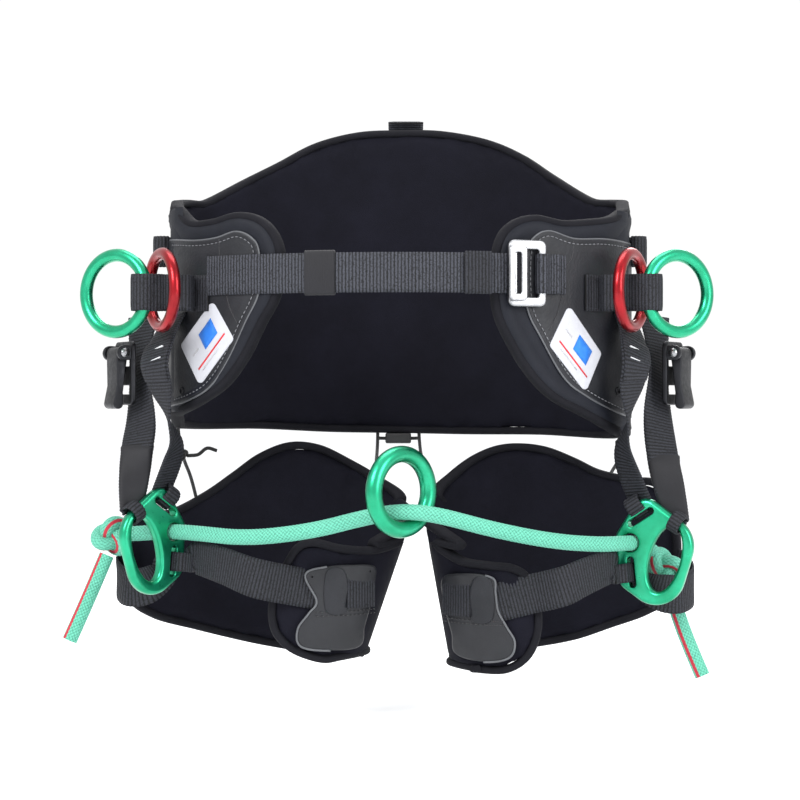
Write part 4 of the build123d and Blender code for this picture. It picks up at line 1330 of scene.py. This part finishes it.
def oval_place(front=True):
    """Maps (u, v, height) onto the oval; u runs to the viewer's right of each face."""
    return lambda u, v, h: on_oval(float(u) if front else -float(u), float(v), float(h),
                                   front)[0]


def trimmed(outline, side):
    """A smooth closed outline, cut off at the hip, as a dense loop."""
    sign = SIDES[side]
    dense = smooth_closed(outline, 40 * len(outline))
    kept = open_run(dense[dense[:, 0] * sign < HIP_EDGE])
    gap = np.array([kept[-1] + (kept[0] - kept[-1]) * k / 60 for k in range(1, 60)])
    loop = np.vstack([kept, gap, kept[:1]])
    flat = np.hstack([loop, np.zeros((len(loop), 1))])
    return resample(flat, 2.0)[:-1, :2]


LABEL_MARKS = [(LABEL_BLUE, 0.42, 0.78, 0.40, 0.78),
               (LABEL_RED, 0.12, 0.90, 0.22, 0.26), (LABEL_GREY, 0.2, 0.66, 0.12, 0.15),
               (LABEL_GREY, 0.14, 0.3, 0.55, 0.58)]
PANEL_SEAMS = {
    "left": [[(-137, 28), (-136, 14), (-128, 2), (-124, -10)],
             [(-131, -16), (-128, -26), (-123, -36)]],
    "right": [[(131, 28), (130, 14), (122, 2), (118, -10)],
              [(122, -16), (118, -30), (112, -42)]],
}
WING_ROWS = [(2.5, -8.6), (0.8, -8.0), (0.2, -6.0), (0.0, -3.5), (0.5, -1.0), (2.2, 1.0),
             (5.0, 2.0), (8.5, 1.8), (11.5, 0.9), (14.0, 0.3)]
PANEL_ROWS = [(0.0, 0.0), (0.0, 1.2), (0.5, 1.9), (1.5, 2.1), (3.2, 1.6), (4.8, 1.5),
              (7.5, 1.9), (11, 1.7)]


for side, sign in SIDES.items():
    place = oval_place()
    obj, under = slab(f"hip_wing_quilt_{side}", [trimmed(WING_OUTLINES[side], side)], place,
                      WING_ROWS, 5.0)
    finish_piece(obj, WING, "root", [f"hip_wing_{side}"])
    obj.data.materials.append(NEOPRENE)
    for polygon in obj.data.polygons[len(obj.data.polygons) - under:]:
        polygon.material_index = 1
    panel_loop = trimmed(PANEL_OUTLINES[side], side)
    obj, _ = slab(f"hip_panel_leather_{side}", [panel_loop], place, PANEL_ROWS, 5.0)
    finish_piece(obj, PANEL, "root", [f"hip_panel_{side}"])
    turn = 1 if np.array_equal(turned_loops([panel_loop])[0], panel_loop) else -1
    inner = moved_in(panel_loop, 4.0 * turn)
    inner = open_run(inner[np.abs(inner[:, 0]) < 178])
    line = [on_oval(u, v, PANEL_THREAD_H) for u, v in inner]
    stitches(f"panel_thread_{side}", [p for p, _ in line], [n for _, n in line],
             GREY_STITCH, "root")
    corners = np.array(LABEL_CORNERS[side], float)
    middle = corners.mean(axis=0)
    dense = hull_outline([(*(middle + (corner - middle) * 0.87), 3.0) for corner in corners])
    obj, _ = slab(f"panel_label_cloth_{side}", [dense], place,
                  [(0.0, 1.4), (0.0, 2.2), (0.5, 2.5), (1.2, 2.35), (2.0, 2.5)], 4.0)
    finish_piece(obj, LABEL, "root", [f"panel_label_{side}"])
    start, right, up = (corners[k] for k in ((2, 1, 3) if side == "left" else (3, 2, 0)))
    for number, (mat, s0, s1, t0, t1) in enumerate(LABEL_MARKS):
        block = [start + (right - start) * s + (up - start) * t
                 for s, t in ((s0, t0), (s1, t0), (s1, t1), (s0, t1))]
        block = np.vstack([np.linspace(block[k], block[(k + 1) % 4], 8, endpoint=False)
                           for k in range(4)])
        obj, _ = slab(f"label_mark_{number}_{side}", [block], place, [(0.0, 2.3), (0.0, 2.72)],
                      4.0)
        finish_piece(obj, mat, "root")
    edge = open_run(panel_loop[np.abs(panel_loop[:, 0]) < HIP_EDGE - 1.5])
    bead(f"panel_edge_bead_{side}", [on_oval(u, v, PANEL_BEAD_H) for u, v in edge],
         circle(0.75, 10), EDGE_GREY, "root")
    for number, run in enumerate(PANEL_SEAMS[side]):
        fine = resample(smooth_open([(u, v, 0) for u, v in run], 40), 1.5)
        bead(f"panel_seam_{number}_{side}", [on_oval(u, v, PANEL_SEAM_H) for u, v, _ in fine],
             circle(0.45, 8), STITCH, "root")
    eyelet = on_oval(sign * EYELET_XZ[0], EYELET_XZ[1], EYELET_H)
    across = Vector((0, 0, 1)).cross(Vector(eyelet[1])).normalized()
    multi_rows(f"panel_eyelet_{side}", [ellipse(3.4, 3.4, (0, 0), 32),
                                        ellipse(1.7, 1.7, (0, 0), 24)], (0.5, 0.4), 1.2,
               flat_place(eyelet[0], across, (0, 0, 1)), BLACK_ALLOY, "root", ())


def binding(name, line, normals, mat, body, nodes=(), depth=6.5, wrap=11.0):
    """Edge tape folded over a pad's rim: a rounded bar along a closed line."""
    section = []
    for k in range(16):
        a = 2 * math.pi * k / 16
        c, d = math.cos(a), math.sin(a)
        section.append((wrap / 2 * math.copysign(abs(c) ** 0.75, c),
                        depth / 2 * math.copysign(abs(d) ** 0.75, d)))
    verts, faces = sweep(np.array(line), section, normals, closed=True)
    return finish_piece(mesh_object(name, verts, faces), mat, body, nodes)


def run_between(outline, keep, key):
    """The dense points of an outline that keep() takes, sorted by key."""
    dense = smooth_closed(outline, 30 * len(outline))
    return sorted((tuple(p) for p in dense if keep(*p)), key=key)


def waist_rim():
    """Points and normals round the pad's whole edge: back, both wings and the low back."""
    path = []
    upper = run_between(BACK_OUTLINE, lambda x, z: z > 40 and abs(x) < HIP_EDGE,
                        lambda p: p[0])
    path += [(x, z, False) for x, z in upper[::4]]
    for side in ("right", "back", "left"):
        if side == "back":
            lower = run_between(BACK_OUTLINE, lambda x, z: z < -60 and abs(x) < HIP_EDGE,
                                lambda p: -p[0])
            path += [(x, z, False) for x, z in lower[::4]]
            continue
        loop = trimmed(WING_OUTLINES[side], side)
        free = open_run(loop[np.abs(loop[:, 0]) < HIP_EDGE - 0.4])
        downward = free if free[0][1] > free[-1][1] else free[::-1]
        run = downward if side == "right" else downward[::-1]
        path += [(x, z, True) for x, z in run[::2]]
    pairs = [on_oval(x, z, -4.2, front) for x, z, front in path]
    points = np.array([p for p, _ in pairs])
    normals = np.array([n for _, n in pairs])
    keep = np.linalg.norm(points - np.roll(points, 1, axis=0), axis=1) > 1.0
    return points[keep], normals[keep]


# A taped seam joins each wing to the back at the hip.
SEAM_TOP = 54
SEAM_LOW = {"left": -106, "right": -118}
for side, sign in SIDES.items():
    pairs = [on_oval(sign * (HIP_X + HIP_R), z, -4.3)
             for z in np.linspace(SEAM_TOP, SEAM_LOW[side], 84)]
    bead(f"hip_seam_tape_{side}", pairs, rounded_bar(19, 8.2, 6), BINDING, "root")

rim_points, rim_normals = waist_rim()
binding("waist_pad_binding", rim_points, rim_normals, BINDING, "root")

LEG_BACK = {
    "left": [
        (-216, -190), (-188, -187), (-160, -173), (-137, -157), (-116, -142), (-92, -133),
        (-68, -135), (-44, -146), (-20, -159), (4, -175), (24, -184), (48, -186), (54, -240),
        (30, -306), (-20, -303), (-62, -300), (-101, -295), (-130, -289), (-167, -279),
        (-201, -268), (-219, -252), (-224, -220),
    ],
    "right": [
        (214, -166), (190, -161), (164, -155), (145, -146), (122, -137), (100, -134),
        (80, -136), (60, -144), (41, -157), (26, -172), (12, -184), (-10, -188), (-14, -240),
        (0, -300), (40, -301), (80, -298), (115, -294), (145, -288), (173, -278), (203, -266),
        (222, -250), (226, -205),
    ],
}
LEG_FRONT = {
    "left": [
        (54, -188), (24, -188), (2, -206), (-18, -211), (-44, -209), (-66, -204), (-78, -208),
        (-87, -222), (-94, -238), (-98, -256), (-95, -273), (-82, -286), (-60, -294),
        (-26, -300), (20, -304), (54, -300), (62, -240),
    ],
    "right": [
        (-20, -192), (12, -190), (26, -207), (44, -219), (66, -222), (86, -224), (98, -232),
        (105, -250), (105, -274), (97, -292), (80, -302), (56, -303), (32, -301), (0, -304),
        (-24, -300), (-34, -240),
    ],
}


def thigh_inner_x(side, z):
    """The front outline's x at a leg pad's inner side, at height z."""
    share = (z - LEG_Z[0]) / (LEG_Z[1] - LEG_Z[0])
    inner = LEG_INNER_X[side][0] + (LEG_INNER_X[side][1] - LEG_INNER_X[side][0]) * share
    return LEG_MIRROR_X[side] - SIDES[side] * inner


def thigh_rim(side):
    """Points and normals round a leg pad's edge, over its back, inner side and front."""
    sign = SIDES[side]

    def beyond(x, z):
        return (x - thigh_inner_x(side, z)) * -sign > -2.0

    split = next(i for i, p in enumerate(LEG_BACK[side]) if beyond(*p))
    upper_back = LEG_BACK[side][:split]
    rest = LEG_BACK[side][split:]
    lower_back = [p for p in rest if not beyond(*p)]
    front = [p for p in LEG_FRONT[side] if not beyond(*p)]
    path = [(x, z, "back") for x, z in upper_back]
    top_z = (upper_back[-1][1] + front[0][1]) / 2
    path += [(a, z, "turn") for a, z in ((50, top_z), (0, top_z - 1), (-50, front[0][1]))]
    path += [(x, z, "front") for x, z in front]
    low_z = front[-1][1] - 1
    path += [(a, low_z + 1.5, "turn") for a in (-50, 0, 50)]
    path += [(x, z, "back") for x, z in lower_back]
    points, normals = [], []
    for q, z, branch in path:
        p, n = on_thigh(side, "wrap" if branch == "turn" else branch, q, z, -4.4)
        points.append(p)
        normals.append(n)
    line = smooth_closed(points, 24 * len(points))
    across = smooth_closed(normals, 24 * len(points))
    closed = np.vstack([line, line[:1]])
    even = resample(closed, 2.0)[:-1]
    lengths = distances(closed)
    to = np.linspace(0, lengths[-1], len(even) + 1)[:-1]
    return even, spread(np.vstack([across, across[:1]]), lengths, to)


for side, sign in SIDES.items():
    body = f"leg_loop_{side}"
    puff(f"leg_pad_quilt_{side}", f"leg_pad_{side}", 0.0016, 0.0024, body, [f"leg_pad_{side}"])
    rim_points, rim_normals = thigh_rim(side)
    binding(f"leg_pad_binding_{side}", rim_points, rim_normals, BINDING, body)

# --- leg straps, sleeves and thigh straps ---------------------------------------------------
SLEEVE_OUTLINE = {
    "left": [
        (-72, -228), (-56, -222), (-38, -221), (-22, -223), (-22, -236), (-25, -252),
        (-30, -270), (-34, -286), (-56, -287), (-76, -283), (-78, -270), (-70, -258),
        (-64, -248),
    ],
    "right": [
        (36, -233), (54, -228), (72, -231), (74, -242), (76, -256), (82, -268), (88, -280),
        (84, -292), (66, -296), (46, -292), (43, -276), (38, -256),
    ],
}
LEG_STRAP_SLOPE = math.radians(84)
THIGH_STRAP_BEHIND = 14.2
STRAP_PATH = {"left": [(-52, -242), (-80, -237)], "right": [(74, -250), (100, -243)]}
LEG_STATIONS = {
    "left": [(-110, -83.5, -230), (-136, -67, -222), (-158, -45, -218)],
    "right": [(124, -85.5, -236), (146, -72, -228), (163, -56, -224)],
}
THIGH_STATIONS = {
    "left": [(188, -19, -233), (202, -20, -242), (218, -13, -243), (226, 5, -236),
             (217, 20.5, -229), (200, 23.5, -228)],
    "right": [(192, -35, -241), (207, -38, -246), (221, -32, -247), (232, -14, -243),
              (231, 6, -236), (221, 21.5, -229), (203, 27.5, -226)],
}


SLEEVE_ROWS = [(0.0, 0.5), (0.0, 3.6), (0.6, 4.6), (1.8, 5.0), (4.0, 4.6), (6.0, 4.9)]
BAND_ROWS = [(0.0, 4.4), (0.0, 5.5), (0.5, 6.0), (2.0, 6.1)]


def thigh_place(side):
    """Maps (u, v, height) onto the front of a thigh."""
    return lambda u, v, h: on_thigh(side, "front", float(u), float(v), float(h))[0]


def dense_loop(outline, step=1.6):
    """A smooth closed outline with points a step apart."""
    loop = smooth_closed(outline, 16 * len(outline))
    closed = np.vstack([loop, loop[:1]])
    return resample(np.hstack([closed, np.zeros((len(closed), 1))]), step)[:-1, :2]


for side, sign in SIDES.items():
    body = f"leg_loop_{side}"
    _, inward, normal = bridge_axes(side)
    sleeve = dense_loop(SLEEVE_OUTLINE[side])
    obj, _ = slab(f"leg_sleeve_vinyl_{side}", [sleeve], thigh_place(side), SLEEVE_ROWS, 4.0)
    finish_piece(obj, VINYL, body, [f"leg_sleeve_{side}"])
    middle = sleeve.mean(axis=0)
    mouth = open_run(sleeve[(sleeve[:, 0] - middle[0]) * sign > 6], gap=12)
    bead(f"sleeve_edge_bead_{side}", [on_thigh(side, "front", u, v, 4.7) for u, v in mouth],
         circle(0.85, 10), EDGE_GREY, body)
    inner = sorted((sleeve[:, 0].min() + 3, sleeve[:, 0].max() - 3), key=lambda x: x * sign)
    near, top = inner[0], sleeve[:, 1].max()
    line = [on_thigh(side, "front", near + sign * d, top - 20, 5.7)
            for d in np.linspace(0, 19, 20)]
    strap(f"sleeve_web_patch_{side}",
          [strap_part([p for p, _ in line], [n for _, n in line], 27, 1.6)], WEB_DARK, body)
    for number, drop in enumerate((36, 39)):
        line = [on_thigh(side, "front", near + sign * d, top - drop, 5.0)
                for d in np.linspace(0, 44, 45)]
        stitches(f"sleeve_thread_{number}_{side}", [p for p, _ in line],
                 [n for _, n in line], STITCH, body)
    band = [(near + sign * d, top - drop) for d, drop in ((20, 5), (33, 5), (34, 35), (19, 35))]
    obj, _ = slab(f"sleeve_band_{side}", [dense_loop(band)], thigh_place(side), BAND_ROWS, 4.0)
    finish_piece(obj, PANEL, body)

    rim = on_bridge(side, *RIM_CENTRES["leg"])
    bar = bar_along(inward, LEG_STRAP_SLOPE)
    points = [on_thigh(side, "front", x, z, 2.0)[0] for x, z in STRAP_PATH[side]]
    points += [Vector(p) for p in LEG_STATIONS[side]]
    reach = points[-1] - rim
    reach = (reach - bar * reach.dot(bar)).normalized()
    end = rim + reach * 14
    parts = [twisted(points + [end], [Vector((0, 0, 1))] * 5 + [bar],
                     [1, 1, 1, 0.95, 0.85, 0.55]),
             teardrop(rim, bar, points[-1], 8.9, 19, 15)]
    obj = strap(f"leg_strap_web_{side}", parts, WEB_DARK, None, [f"leg_strap_{side}"])
    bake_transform(obj)

    # It goes on behind the bridge ring and round to the pad's outer end.
    points = [rim - normal * THIGH_STRAP_BEHIND]
    points += [Vector((sign * out, depth, z)) for out, depth, z in THIGH_STATIONS[side]]
    parts = [twisted(points, [Vector((0, 0, 1))] * len(points),
                     [0.66, 0.8] + [1.0] * (len(points) - 2))]
    obj = strap(f"thigh_strap_web_{side}", parts, WEB_DARK, None, [f"thigh_strap_{side}"])
    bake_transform(obj)

# --- small fittings -------------------------------------------------------------------------
lock = flat_place((-1.5, 105.6, -127.5), (0, 1, 0), (0, 0, 1))
cord_lock = multi_rows("cord_lock_barrel", [rounded_rectangle(9, 9, 2.5),
                                            ellipse(1.9, 1.9, (0, 0), 20)],
                       (1.6, 0.5), 22.0, lock, BLACK_PLASTIC, "cord_lock",
                       ["cord_lock_centre"])
small_tail = smooth_open([(-172, 17, -140), (-163, 14, -139), (-156, 17, -134),
                          (-148, 18, -136)], 60)
knot_turns = knot_line((-176, 15, -139), 1.3, 1.3, 80)
verts, faces = sweep(np.array(knot_turns), circle(1.6, 12))
tail_verts, tail_faces = sweep(small_tail, circle(1.5, 12))
obj = join_meshes("shock_knot_left", [(verts, faces), (tail_verts, tail_faces)])
small_knot = finish_piece(obj, SHOCK, "root", ["elastic_knot_left"])
tilt = Matrix.Rotation(math.radians(-25), 3, "X")
steps = np.linspace(-7, 7, 29)
barrel = [Vector((178.3, 9.4, -133.5)) + tilt @ Vector((0, 0, d)) for d in steps]
radii = [5.0 - 1.2 * max(0, abs(d) - 5.6) - 0.35 * (abs(d) < 2.2) for d in steps]
verts, faces = sweep(np.array(barrel), lambda i: circle(radii[i], 28))
fitting = finish_piece(mesh_object("cord_fitting_moulded", verts, faces), BLACK_PLASTIC,
                       "root", ["cord_fitting_right"])

# --- the cords' pieces and lines, looked up again -------------------------------------------
for side in SIDES:
    tail, tail_line = tails[side]
for (where, side), (obj, cord_points) in elastic.items():
    routes = CENTRE_CORDS if where == "centre" else SIDE_CORDS
